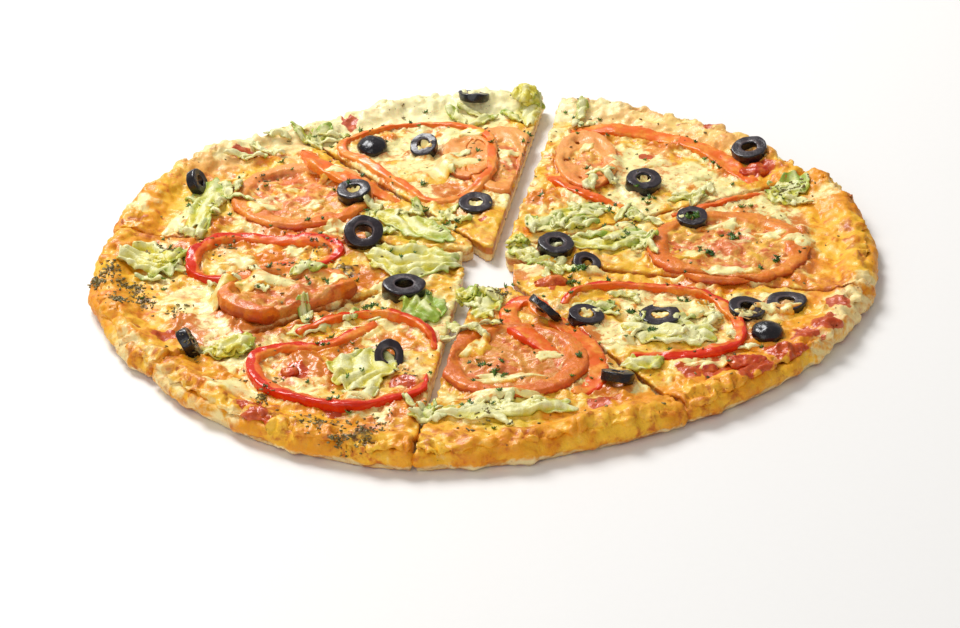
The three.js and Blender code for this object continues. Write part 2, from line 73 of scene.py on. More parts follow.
# Each pepper strip: node, width, height, whether it closes, and its plan points.
PEPPERS = [
    ("pepper_back_ring", 3.8, 3.8, True, [
        (-60, 100), (-48, 112), (-30, 119), (-10, 115), (3, 104), (6, 84), (3, 62), (-7, 49), (-20, 43),
        (-31, 56), (-47, 78)]),
    ("pepper_back_left", 8.0, 3.8, False, [(-76, 97), (-69, 74), (-51, 57), (-34, 45)]),
    ("pepper_back_left_end", 7.0, 4.5, False, [(-80, 18), (-70, 14.5), (-59, 13)]),
    ("pepper_left_ring", 4.8, 4.8, True, [
        (-103, 11), (-113, 4), (-116, -8), (-114, -20), (-100, -25), (-90, -18), (-83, -12), (-72, -12),
        (-62, -8), (-58, 0), (-66, 5), (-85, 9)]),
    ("pepper_front_left_ring", 5.0, 4.6, False, [
        (-42, -62), (-50, -71), (-62, -79), (-76, -81), (-87, -88), (-86, -101), (-79, -113), (-65, -122),
        (-50, -126), (-35, -121), (-24, -114), (-22, -103)]),
    ("pepper_front_left_arc", 4.0, 4.4, False, [
        (-72, -68), (-60, -60), (-48, -55), (-37, -57), (-27, -63), (-20, -72), (-19, -82)]),
    ("pepper_front", 8.5, 4.0, False, [
        (28, -90), (16, -76), (10, -62), (11, -51), (17, -45), (24, -53), (32, -69), (39, -83), (43, -97),
        (42, -110), (34, -119)]),
    ("pepper_front_right_ring", 4.6, 4.6, False, [
        (31, -49), (37, -40), (50, -35), (66, -37), (86, -44), (96, -56), (100, -72), (98, -83), (88, -90),
        (70, -92), (56, -91)]),
    ("pepper_back_right_thin", 4.0, 3.6, False, [(28, 71), (35, 56), (45, 46), (56, 38), (67, 31)]),
    ("pepper_back_right_wide", 8.5, 3.8, False, [
        (40, 112), (60, 110), (80, 103), (97, 88), (109, 71), (117, 56)]),
    ("pepper_right", 4.2, 4.4, False, [(79, 26.5), (94, 33.5), (107, 40), (117, 45)]),
]
# How orange each of them is, from 0, red, to 1, and then paler.
PEPPER_TONES = [1.15, 1.0, 0.15, 0.2, 0.12, 0.3, 0.3, 0.1, 0.5, 0.95, 0.45]

# Each olive: place, radius, thickness, lean about X and Y, turn, and whether it is an end without a hole.
OLIVES = [
    (-2, 141, 7.2, 3.4, -16, 4, 0, False), (-47, 97, 7.2, 6.0, 0, 0, 0, True),
    (-24, 93, 6.3, 4.2, 24, -14, 0, False), (-2, 39, 7.7, 3.8, 4, 0, 0, False),
    (-120, 60, 6.0, 4.0, 10, 58, 0, False), (-53, 46, 7.3, 5.0, 8, -6, 0, False),
    (-48, 5, 8.0, 7.0, 34, 4, 0, False), (-31, -38, 8.4, 6.6, 3, 2, 0, False),
    (-113, -80, 6.2, 4.6, 8, 62, 20, False), (-36, -89, 6.0, 4.2, 48, 8, 0, False),
    (116, 79, 7.7, 4.6, 10, -8, 0, False), (69, 55, 8.1, 5.6, 4, 4, 0, False),
    (87, 19, 6.9, 3.8, 6, 0, 0, False), (30, -3, 8.0, 5.0, 4, 6, 0, False),
    (42, -16.5, 6.0, 3.6, 12, 10, 0, False), (40, -61, 6.9, 3.6, 4, 10, 0, False),
    (69, -61, 8.0, 3.6, 3, 0, 0, False), (24.5, -58.5, 7.6, 2.8, 0, 52, 32, False),
    (119, -52, 7.6, 3.4, 2, -4, 0, False), (103, -58, 7.6, 3.2, 4, 6, 0, False),
    (109, -77, 6.6, 6.0, 0, 0, 0, True), (50, -110, 6.4, 3.8, -22, 8, 0, False),
]

OLIVE_SUNK = 0.5  # how much deeper the rounded edge of an olive lies than its plain solid
CHEESE_SUNK = 1.1  # how much deeper the cheese reaches into the dough than its plain solid
PEPPER_SUNK = 1.9  # how deep a pepper strip lies in what is under it
CHEESE_OVERLAP = 0.7  # how far below the top of a topping the cheese that climbs it stays
LOWEST_TOP = 5  # nothing draped over the pizza lies lower than this
CREST = 1.2  # a lump of this height takes the full colour of a crest
LEAF_GRAIN = 0.75  # size of the facets of a cabbage leaf
STAINS_OVER = 34  # a heap of more dried herbs than this stains the cheese
WELD = 0.01  # points nearer than this to each other become one
FLOOR_BELOW = 0.2  # how far the floor lies under the pizza

# Each tomato slice: the nodes it is cut into, its centre, half its extent along X and Y, and how hollow.
TOMATOES = [
    (["tomato_back_left"], (-75, 50), (31, 31), 1), (["tomato_back_side"], (10, 82), (17, 34), 1),
    (["tomato_back_small"], (-5, 85), (12, 22), 1), (["tomato_back_right"], (46, 80), (14, 29), 1),
    (["tomato_right", "tomato_front_right"], (100, -5), (34, 32), 1),
    (["tomato_front"], (11, -94), (30, 29), 0.9), (["tomato_left"], (-77, -42), (29, 22), 0),
]

# Each cabbage leaf: name, place, length and width, turn, ripple, how green it is, and the node it stands for.
LEAVES = [
    ("leaf_left_tip", (-27.5, -10), (38, 25), -14, 1.6, 0.35, "cabbage_left_tip"),
    ("leaf_left_rim", (-134, -7), (27, 21), -38, 1.8, 0.3, "cabbage_left_rim"),
    ("leaf_front_left", (-46, -98), (31, 23), 78, 1.2, 0.25, "cabbage_front_left"),
    ("leaf_back_left_rim", (-115, 45), (46, 14), 80, 0.9, 0.5, None),
    ("leaf_back_left_tip", (-28, 20), (42, 13), -42, 0.9, 0.45, None),
    ("leaf_front_rim", (8, -131), (50, 11), 3, 1.1, 0.2, None),
    ("leaf_front_tip", (2, -49), (20, 10), 62, 0.9, 0.45, None),
    ("leaf_front_right", (72, -72), (36, 20), -18, 0.9, 0.25, None),
    ("leaf_mint", (-24, -49), (25, 16), -66, 1.3, 0.75, None),
    ("leaf_right", (52, 4), (34, 15), 12, 0.9, 0.4, None),
    ("leaf_back_right_rim", (129, 46), (24, 14), 62, 0.9, 0.5, None),
    ("leaf_back_right_tip", (36, 26), (36, 13), 36, 0.8, 0.35, None),
    ("leaf_front_right_cut", (60, -97), (17, 11), 20, 1.3, 0.4, None),
    ("leaf_left_front", (-98, -79), (20, 10), 8, 1.2, 0.45, None),
    ("leaf_back_rim", (23, 131), (26, 8), 84, 0.9, 0.25, None),
]

# Loose shreds of cabbage: centre, spread, how many, how green.
SHREDS = [
    (52, 8, 22, 14, 22, 0.35), (20, -10, 9, 10, 9, 0.3), (36, -22, 14, 8, 8, 0.45),
    (68, -60, 26, 18, 26, 0.3), (90, -78, 14, 8, 8, 0.25), (40, 27, 20, 10, 16, 0.35),
    (100, 50, 16, 8, 8, 0.3), (45, 122, 7, 7, 5, 0.4), (-28, 22, 22, 14, 14, 0.45),
    (-40, 30, 14, 10, 8, 0.4), (-112, 40, 14, 24, 14, 0.45), (-128, -10, 14, 14, 10, 0.3),
    (-100, -32, 14, 10, 9, 0.3), (-70, -20, 18, 8, 6, 0.3), (2, -44, 9, 11, 9, 0.45),
    (-2, -66, 10, 8, 6, 0.3), (0, -130, 26, 6, 14, 0.2), (-52, -66, 20, 12, 8, 0.3),
    (-40, -118, 12, 8, 5, 0.35), (-72, 106, 18, 7, 12, 0.4), (-94, 92, 10, 6, 7, 0.4),
    (5, 128, 16, 8, 7, 0.3), (-20, 75, 12, 14, 5, 0.2), (130, 45, 10, 10, 8, 0.4),
    (52, 60, 10, 14, 5, 0.2), (70, 24, 16, 6, 7, 0.3), (-25, -132, 7, 6, 5, 0.5),
]

# Red sauce that shows through the cheese: place, radius.
SAUCE = [
    (-58, 122, 6), (-102, 92, 7), (66, 110, 7), (119, 66, 8), (27, -31, 5), (100, -106, 9),
    (88, -103, 8), (76, -101, 6), (121, -97, 8), (134, -72, 7), (138, -56, 5), (42, -127, 7),
    (-85, -137, 8), (-88, -122, 6), (-58, -128, 5), (-74, 20, 4), (103, 106, 5), (-122, -66, 6),
    (48, 84, 6), (-72, -98, 7), (-30, -108, 6), (94, -98, 9), (112, -90, 8), (124, -80, 6), (72, 82, 4),
    (84, 128, 4), (-93, -68, 5), (-47, 80, 3), (0, 27, 3),
]
# Orange oil in the cheese.
OIL = [
    (-140, 26, 12), (-86, 22, 14), (-52, 24, 10), (-70, 60, 20), (-108, 74, 10), (-100, 12, 12),
    (28, 47, 12), (46, 82, 20), (82, 96, 16), (110, 70, 12), (-12, 55, 12), (10, 88, 18), (-40, 62, 8),
    (-92, -22, 10), (-78, -44, 26), (-60, -90, 26), (-34, -74, 12), (-118, -58, 10), (16, -72, 16),
    (10, -96, 26), (38, -76, 12), (100, -6, 30), (78, -30, 12), (96, -32, 12), (100, -84, 14),
    (126, -64, 12), (134, -16, 10), (14, -24, 7), (135, 22, 10), (60, 112, 14), (-104, -100, 10),
    (-92, -112, 9), (-70, -130, 9), (20, 14, 6), (-90, 92, 8), (120, 92, 8), (100, 112, 9),
    (-12, -78, 6), (48, -118, 9), (124, -30, 10), (-120, 10, 14), (-96, -46, 14), (-46, -24, 12),
    (-56, 8, 12), (-112, -70, 12), (-30, -122, 12), (-60, -136, 12), (-108, -90, 10), (-84, -124, 13),
    (-66, -134, 12), (-84, -4, 12), (-100, 60, 12), (-66, -22, 10),
]
# Pools of pale soft cheese.
CREAM = [
    (-30, 85, 22), (-24, 62, 14), (-135, 45, 10), (-110, -55, 14), (-92, -62, 12), (-116, -34, 10),
    (66, 72, 16), (84, 66, 12), (60, 44, 9), (118, -52, 10), (92, -92, 12), (72, -52, 18),
    (-8, 118, 20), (-32, 128, 12), (122, 22, 12), (128, -4, 10), (-100, -120, 8), (-84, -112, 9),
    (0, -72, 9), (22, -84, 8), (20, -18, 8), (-78, -22, 14), (-150, 0, 6), (-80, 112, 12), (-56, 8, 8),
    (48, -72, 10), (100, 40, 10), (-70, -96, 8),
]
# Dough and cheese left pale at the outer edge.
PALE_DOUGH = [
    (-124, -100, 13), (-114, -118, 13), (-98, -134, 11), (146, -52, 14), (143, -68, 14), (134, -86, 12),
    (-142, -76, 12), (-128, -88, 10), (150, -38, 8), (-60, 130, 22), (-30, 138, 22), (0, 144, 20),
    (-90, 116, 16), (-112, 96, 12), (60, 138, 12), (128, 84, 12), (146, 40, 10), (-146, 42, 12),
    (96, 122, 10), (26, 144, 10),
]
# Well browned cheese on the edge.
BROWNED = [
    (-148, 26, 12), (-138, 18, 9), (-110, -132, 6), (-72, -142, 8), (-48, -148, 12), (-34, -140, 10),
    (-8, -148, 9), (14, -148, 10), (36, -142, 9), (56, -136, 10), (76, -128, 9), (92, -124, 7),
    (112, -104, 8), (-128, -84, 9), (-120, -104, 6), (148, 6, 8), (152, -14, 7), (150, 30, 6),
    (128, 70, 8), (100, 116, 8), (46, 136, 8), (-20, -152, 6), (-94, -140, 6), (66, -146, 6),
    (138, -38, 8), (-118, -96, 6), (22, 142, 6), (-108, -106, 9), (-94, -120, 9), (-84, -118, 7),
    (-120, -88, 7), (-76, -128, 9), (-94, -110, 8), (-58, -136, 8),
]

# Lumps of tomato and sauce: name, place, length, width and height, turn, and tone from 0, red, to 1, orange.
CHUNKS = [
    ("tomato_chunk_olive", (117, 66), (11, 6, 3.4), 15, 0.2),
    ("tomato_chunk_tip", (27, -31), (13, 4, 1.8), 8, 0.45),
    ("tomato_chunk_ring", (-74, -99), (5, 4, 1.2), 62, 0.1),
    ("tomato_chunk_sauce_a", (99, -102), (13, 5, 1.2), 14, 0.1),
    ("tomato_chunk_sauce_b", (84, -101), (8, 4, 1), -10, 0.2),
]
# Lumps that stand up in the melted cheese: place, radius.
LUMPS = [
    (-62, -94, 9), (-58, -104, 6), (-70, -88, 6), (-89, -69, 8), (-80, -66, 6), (-26, -108, 6),
    (30, 47, 10), (-70, -60, 6), (-62, -55, 5), (-96, -60, 7), (-118, -56, 7), (110, 30, 8),
    (124, -18, 7), (128, 10, 8), (-12, 110, 7), (-40, 108, 6), (84, 92, 7), (-110, 28, 7), (-94, 88, 7),
    (22, -130, 6), (50, -126, 7), (76, -116, 6), (-30, -134, 7), (-100, -100, 6), (112, -92, 6),
    (128, -56, 6),
]
# Pools of cheese that melted over the toppings: place, length and width, turn, thickness.
POOLS = [
    ((-86, -36), (24, 12), 8, 1.1), ((-58, -35), (10, 7), 0, 0.9), ((119, -57), (10, 6), 10, 1.0),
    ((111, -57), (12, 7), 0, 1.0), ((102, -63), (9, 5), 0, 0.9), ((-24, 92), (7, 6), 0, 0.5),
    ((-53, 46), (7, 6), 0, 0.4), ((-2, 39), (7, 6), 0, 0.2), ((69, 55), (7, 6), 0, 0.4),
    ((40, -60), (6, 5), 40, 0.5), ((69, -61), (7, 6), 0, 0.2), ((-92, 38), (16, 10), 30, 1.0),
    ((-62, 66), (14, 7), 20, 0.8), ((-52, -64), (12, 5), 0, 0.6), ((-98, -8), (16, 9), 0, 1.0),
    ((-76, 0), (11, 7), 10, 0.9), ((8, -107), (26, 6), 4, 1.0), ((-2, -84), (16, 9), 60, 0.9),
    ((24, -92), (12, 7), 30, 0.8), ((118, 4), (13, 8), -20, 1.0), ((84, -12), (15, 9), 10, 1.0),
    ((100, 14), (15, 7), 10, 0.8), ((98, -25), (24, 7), 0, 0.8), ((76, -28), (12, 6), -20, 0.8),
    ((-22, 76), (36, 26), 0, 1.0), ((-10, 106), (24, 12), 0, 0.8), ((78, -54), (26, 12), -10, 1.0),
    ((52, -78), (14, 8), 0, 0.8), ((-94, -112), (26, 14), -30, 1.1), ((-112, -42), (26, 16), 20, 1.1),
    ((2, -121), (34, 5), 2, 0.8), ((66, 76), (24, 14), 0, 1.0), ((90, 62), (16, 9), 10, 0.9),
    ((46, 90), (12, 6), 60, 0.8), ((12, 88), (9, 12), 0, 0.8), ((130, -2), (14, 12), 0, 1.1),
    ((122, 24), (14, 9), 60, 0.9), ((-126, 30), (22, 9), 70, 0.9), ((-58, 22), (18, 7), 10, 0.9),
    ((44, -22), (12, 6), 20, 0.8), ((88, -98), (22, 6), 12, 0.8), ((-48, -118), (14, 5), -10, 0.7),
    ((-104, 70), (16, 9), 40, 0.8), ((54, 14), (20, 7), 10, 0.8), ((-40, -30), (10, 7), 0, 0.8),
    ((-70, 40), (14, 8), 50, 0.8), ((-82, 56), (12, 8), 0, 0.8),
]
# Crumpled heaps of cabbage: name, place, length and width, turn, and how green.
HEAPS = [
    ("cabbage_heap_left_rim", (-127, -7), (15, 11), 4, 0.35),
    ("cabbage_heap_front_tip", (-5, -40), (10, 8), 10, 0.35),
    ("cabbage_heap_right_tip", (15, 3), (13, 9), 40, 0.25),
    ("cabbage_heap_left", (-97, -80), (17, 9), 4, 0.15),
    ("cabbage_heap_back", (22, 139), (12, 10), 10, 0.1),
]

# Parsley: place, spread, how many leaves.
PARSLEY = [
    (-45, -46, 3, 9), (-38, -50, 2, 4), (0, -96, 3, 9), (7, -104, 3, 8), (36, -94, 2, 4),
    (5, -67, 2, 3), (92, -9, 3, 8), (101, 3, 4, 9), (118, -16, 3, 5), (87, 19, 3.5, 16),
    (57, -56, 3, 7), (66, -72, 3, 4), (36, -32, 3, 9), (40, -22, 3, 8), (-12, 22, 4, 4),
    (-24, 36, 3, 3), (70, 42, 4, 6), (24, 104, 6, 5), (-62, -78, 3, 3), (-30, 118, 4, 2),
    (80, -47, 4, 4), (70, -86, 4, 2), (54, 30, 5, 4), (-66, -34, 6, 4), (10, -30, 5, 5),
    (-90, 60, 5, 3), (60, 12, 8, 6), (112, 30, 5, 3), (-50, -100, 6, 3), (-4, -122, 8, 4),
]
# Dried herbs in heaps: place, spread, how many.
DRIED = [
    (-150, -17, 5, 90), (-153, -28, 4, 80), (-140, -28, 7, 80), (-144, -44, 5, 70), (-134, -40, 6, 40),
    (-128, 2, 6, 45), (-120, -48, 6, 30), (-52, -153, 5, 55), (-44, -152, 5, 45), (-60, -140, 9, 40),
    (-40, -138, 8, 30), (-58, -18, 9, 40), (-80, -22, 8, 26), (-98, -26, 6, 22), (-104, 6, 10, 24),
    (6, -40, 5, 40), (-112, -84, 4, 26), (-82, -116, 5, 26), (128, 44, 6, 34), (136, 50, 5, 20),
    (0, -134, 14, 30), (-66, 2, 7, 34), (102, -60, 7, 20), (-30, -100, 6, 14), (-92, 66, 4, 14),
    (24, 106, 4, 14),
]


def tint(red, green, blue):
    """A colour given as 0 to 255, in the linear values that materials take."""
    return tuple(c / 12.92 if c <= 0.04045 else ((c + 0.055) / 1.055) ** 2.4
                 for c in (red / 255, green / 255, blue / 255))


# ---- Shades inside the finishes ----

# The baked edge.
EDGE_YELLOW = tint(255, 194, 46)
EDGE_AMBER = tint(232, 126, 6)
EDGE_PALE = tint(254, 230, 162)
EDGE_PAINTED_LIGHT = tint(255, 243, 184)
EDGE_SPECK = tint(126, 64, 20)
CRUMB_SHADE = tint(234, 186, 104)
CRUMB_PORE = tint(206, 142, 66)
# The cheese and what stains it.
CHEESE_BLUSH = tint(238, 158, 86)
CHEESE_HOLLOW = tint(206, 112, 26)
CHEESE_DIP = tint(208, 108, 26)
THIN_SAUCE = tint(214, 84, 26)
HERB_STAIN = tint(92, 74, 30)
# The wall, core and skin of a tomato slice, and the lumps of tomato.
WALL_LIGHT = tint(246, 154, 46)
WALL_PALE = tint(250, 186, 96)
WALL_DEEP = tint(208, 92, 12)
WALL_PAINTED_LIGHT = tint(250, 180, 104)
WALL_FRONT_DARK = tint(214, 98, 12)
CORE_PINK = tint(232, 128, 66)
CORE_RED = tint(210, 88, 24)
CORE_FRONT_DARK = tint(214, 122, 34)
SKIN_LIGHT = tint(228, 96, 14)
SKIN_LOW_DARK = tint(172, 58, 8)
LUMP_RED = tint(178, 38, 6)
LUMP_ORANGE = tint(234, 118, 30)
LUMP_LIGHT_RED = tint(214, 78, 24)
LUMP_PALE = tint(246, 168, 76)
# Pepper, olive and greens.
PEPPER_SCARLET = tint(238, 80, 18)
PEPPER_PALE = tint(248, 158, 74)
PEPPER_DARK = tint(166, 30, 6)
PEPPER_FLESH = tint(246, 156, 52)
OLIVE_HOLE_HIGHLIGHT = tint(96, 78, 78)
OLIVE_DUST = tint(92, 74, 70)
LEAF_FOLD_SHADE = tint(160, 152, 40)
LEAF_BROWNED = tint(206, 170, 60)
PARSLEY_LIGHT = tint(112, 154, 50)
DRIED_LIGHT = tint(150, 130, 66)
# The floor.
FLOOR_SHADE = tint(240, 238, 234)


# ---- What a user may change ----

def length(name, description, millimetres):
    return FloatProperty(name=name, description=description, default=millimetres * MM, min=0, unit="LENGTH")


def colour(name, description, red, green, blue):
    return FloatVectorProperty(
        name=name, description=description, subtype="COLOR", size=3, min=0, max=1,
        default=tint(red, green, blue))


def strength(name, description, default):
    return FloatProperty(name=name, description=description, default=default, min=0)


class PizzaDough(bpy.types.PropertyGroup):
    grain: length("Grain", "Size of the facets of the dough", 1.2)
    lumps: length("Lumps", "How far the baked edge swells in and out", 1.8)
    swell: length("Swell", "How far the edge swells out under the cheese", 1.5)
    pale: colour("Pale dough", "Colour of dough that hasn't browned", 247, 222, 164)
    golden: colour("Golden dough", "Colour of the baked edge", 238, 154, 10)
    brown: colour("Browned dough", "Colour of the darkest spots", 188, 90, 10)


class PizzaCheese(bpy.types.PropertyGroup):
    grain: length("Grain", "Size of the facets of the cheese", 0.75)
    lumps: length("Lumps", "How far lumps of melted cheese stand up", 2.4)
    strands: IntProperty(name="Strands", description="Grated strands that still show", default=2000, min=0)
    shreds: length("Shreds", "How far the grated strands stand out", 0.9)
    lip: length("Lip", "How far the cheese runs down over the edge of the dough", 2.2)
    swell: length("Swell", "How far the cheese climbs the toppings", 1.3)
    cream: colour("Cream", "Colour of soft white cheese", 254, 239, 166)
    butter: colour("Butter", "Colour of yellow cheese", 247, 190, 50)
    gold: colour("Gold", "Colour of baked cheese on the edge", 234, 148, 14)
    brown: colour("Brown", "Colour of browned cheese", 180, 84, 14)
    oil: colour("Oil", "Colour of cheese stained by oil and tomato", 233, 122, 12)
    sauce: colour("Sauce", "Colour of tomato sauce", 184, 44, 8)


class PizzaTomato(bpy.types.PropertyGroup):
    grain: length("Grain", "Size of the facets of a tomato slice", 0.6)
    chambers: IntProperty(name="Chambers", description="Seed chambers of one tomato", default=6, min=3, max=9)
    depth: length("Chamber depth", "How far the seed chambers lie below the wall", 1.2)
    flesh: colour("Flesh", "Colour of the baked flesh", 234, 120, 8)
    skin: colour("Skin", "Colour of the skin", 212, 66, 6)
    jelly: colour("Jelly", "Colour of the baked jelly in the chambers", 242, 176, 76)


class PizzaPepper(bpy.types.PropertyGroup):
    red: colour("Red skin", "Colour of a red skin", 222, 44, 4)
    orange: colour("Orange skin", "Colour of an orange skin", 244, 128, 4)
    flesh: colour("Flesh", "Colour of the cut flesh", 238, 104, 18)


class PizzaOlive(bpy.types.PropertyGroup):
    hole: FloatProperty(
        name="Hole", description="Radius of the stone's hole as a share of the olive's",
        default=0.41, min=0.2, max=0.7)
    skin: colour("Skin", "Colour of the skin", 17, 11, 18)
    flesh: colour("Flesh", "Colour of the cut flesh", 40, 28, 36)


class PizzaGreens(bpy.types.PropertyGroup):
    thickness: length("Thickness", "Thickness of a cabbage leaf", 0.6)
    fold: length("Fold", "Width of the folds of a cabbage leaf", 6.5)
    pale: colour("Rib", "Colour of the ribs of the cabbage", 244, 240, 184)
    yellow: colour("Yellow leaf", "Colour of the inner leaves", 224, 208, 62)
    green: colour("Green leaf", "Colour of the outer leaves", 150, 178, 52)
    parsley: colour("Parsley", "Colour of chopped parsley", 52, 98, 20)
    dried: colour("Dried herbs", "Colour of dried herbs", 96, 84, 32)


class PizzaStudio(bpy.types.PropertyGroup):
    floor: colour("Floor", "Colour of the floor", 246, 244, 241)
    key: strength("Key light", "Power of the large light", 25)
    fill: strength("Fill light", "Power of the light beside the camera", 6)
    sky: strength("Sky", "Strength of the light from all round", 0.34)


# ---- Modelling helpers ----

def only(*objects):
    """Selects these objects and nothing else."""
    bpy.ops.object.select_all(action="DESELECT")
    for each in objects:
        each.select_set(True)
    bpy.context.view_layer.objects.active = objects[0]


def edit(piece, mode="VERT"):
    """Enters edit mode with nothing of the piece selected."""
    only(piece)
    bpy.ops.object.mode_set(mode="EDIT")
    bpy.ops.mesh.select_mode(type=mode)
    bpy.ops.mesh.select_all(action="DESELECT")


def take_all():
    bpy.ops.mesh.select_all(action="SELECT")


def leave_edit():
    """Leaves edit mode with nothing of the piece selected."""
    bpy.ops.mesh.select_all(action="DESELECT")
    bpy.ops.object.mode_set(mode="OBJECT")


def settle(piece):
    """Applies the place, turn and size of a piece to its points."""
    only(piece)
    bpy.ops.object.transform_apply(location=True, rotation=True, scale=True)


def pick(piece, wanted):
    """Selects the faces of the edited piece that a test wants."""
    bpy.ops.object.mode_set(mode="OBJECT")
    for face in piece.data.polygons:
        face.select = wanted(face)
    bpy.ops.object.mode_set(mode="EDIT")


def modify(piece, kind, **settings):
    """Adds a modifier, sets it and applies it."""
    only(piece)
    bpy.ops.object.modifier_add(type=kind)
    modifier = piece.modifiers[-1]
    for key, value in settings.items():
        setattr(modifier, key, value)
    bpy.ops.object.modifier_apply(modifier=modifier.name)


def points(piece):
    found = np.empty(len(piece.data.vertices) * 3)
    piece.data.vertices.foreach_get("co", found)
    return found.reshape(-1, 3)


def set_points(piece, places):
    piece.data.vertices.foreach_set("co", places.ravel())
    piece.data.update()


def normals(piece):
    found = np.empty(len(piece.data.vertices) * 3, np.float32)
    piece.data.vertex_normals.foreach_get("vector", found)
    return found.reshape(-1, 3)


def mark(piece, name, values):
    """Keeps a number for each point of the piece, for its material to read."""
    layer = piece.data.attributes.new(name, "FLOAT", "POINT")
    layer.data.foreach_set("value", np.asarray(values, np.float32))


def plan_of(places):
    """Plan places in millimetres of points in metres."""
    return places[:, 0] / MM - CUTS_MEET[0], places[:, 1] / MM - CUTS_MEET[1]


def place_of(x, y, z=0.0):
    """The point in metres of a plan place and a height in millimetres."""
    return Vector(((x + CUTS_MEET[0]) * MM, (y + CUTS_MEET[1]) * MM, z * MM))


def turned(at, along, across, turn):
    """Plan places counted along and across from one place, with the way along turned by some degrees."""
    cosine, sine = math.cos(math.radians(turn)), math.sin(math.radians(turn))
    return at[0] + along * cosine - across * sine, at[1] + along * sine + across * cosine


def lay_out(piece, x, y, z):
    """Moves the points of a piece to plan places and heights in millimetres."""
    set_points(piece, np.stack([(x + CUTS_MEET[0]) * MM, (y + CUTS_MEET[1]) * MM, z * MM], 1))


def rise(values, low, high):
    """0 below low, 1 above high, and smooth between."""
    share = np.clip((np.asarray(values, float) - low) / (high - low), 0, 1)
    return share * share * (3 - 2 * share)


def waves(x, y, pitch, start=0.0):
    """A smooth uneven pattern between -1 and 1, with hills about pitch apart."""
    turn = math.tau / pitch
    bend = np.sin(0.63 * turn * y + 1.1 + start) + np.sin(0.41 * turn * x - 0.7)
    return 0.5 * (np.sin(turn * x + bend + start) + np.sin(turn * 0.87 * y - bend + 2.3))


def near(x, y, spots):
    """How strongly each plan place lies in one of the ragged spots, from 0 to 1."""
    warped_x = x + 2.2 * waves(x, y, 19) + 1.1 * waves(y, x, 7, 2)
    warped_y = y + 2.2 * waves(x, y, 17, 4) + 1.1 * waves(y, x, 6, 1)
    found = np.zeros(len(x))
    for spot_x, spot_y, radius in spots:
        away = np.hypot(warped_x - spot_x, warped_y - spot_y) / radius
        found = np.maximum(found, 1 - rise(away, 0.35, 1.35))
    return found


def painted_back_light(x, y):
    """How much light is painted on the edge, as if lit from behind: most at the back, less to its sides."""
    return rise(y, 56, 122) * (1 - 0.6 * rise(x, 20, 70)) * (1 - 0.25 * rise(-x, 50, 100))


def cloud(pitch, depth):
    """A texture of soft lumps about pitch millimetres across."""
    texture = bpy.data.textures.new(f"clouds_{pitch}", "CLOUDS")
    texture.noise_scale = pitch * MM
    texture.noise_depth = depth
    return texture


def roughen(piece, texture, height, share=1.0, middle=0.5):
    """Swells the piece by a texture, as far as share says at each point. Returns how far each point went."""
    before = points(piece)
    along = normals(piece)
    modify(piece, "DISPLACE", texture=texture, texture_coords="LOCAL", strength=height, mid_level=middle)
    moved = (points(piece) - before) * np.reshape(share, (-1, 1))
    set_points(piece, before + moved)
    return (moved * along).sum(1)


def solid_copy(node, name):
    """A copy of a plain solid, its points merged, to shape further."""
    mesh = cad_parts[node].data.copy()
    mesh.name = name
    mesh.materials.clear()
    piece = bpy.data.objects.new(name, mesh)
    bpy.context.scene.collection.objects.link(piece)
    edit(piece)
    take_all()
    bpy.ops.mesh.remove_doubles(threshold=WELD * MM)
    leave_edit()
    return piece


def finish_piece(piece, name, material, slot, *nodes):
    """Names a piece, paints it, smooths it and lets it ride on the pizza."""
    piece.name = name
    piece.data.name = name
    settle(piece)
    bpy.ops.object.shade_smooth()
    piece.data.materials.clear()
    piece.data.materials.append(material)
    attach(piece, "root")
    if nodes:
        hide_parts(*nodes)
    return piece


def joined(objects):
    """Many like objects as one."""
    only(*objects)
    if len(objects) > 1:
        bpy.ops.object.join()
    return bpy.context.view_layer.objects.active


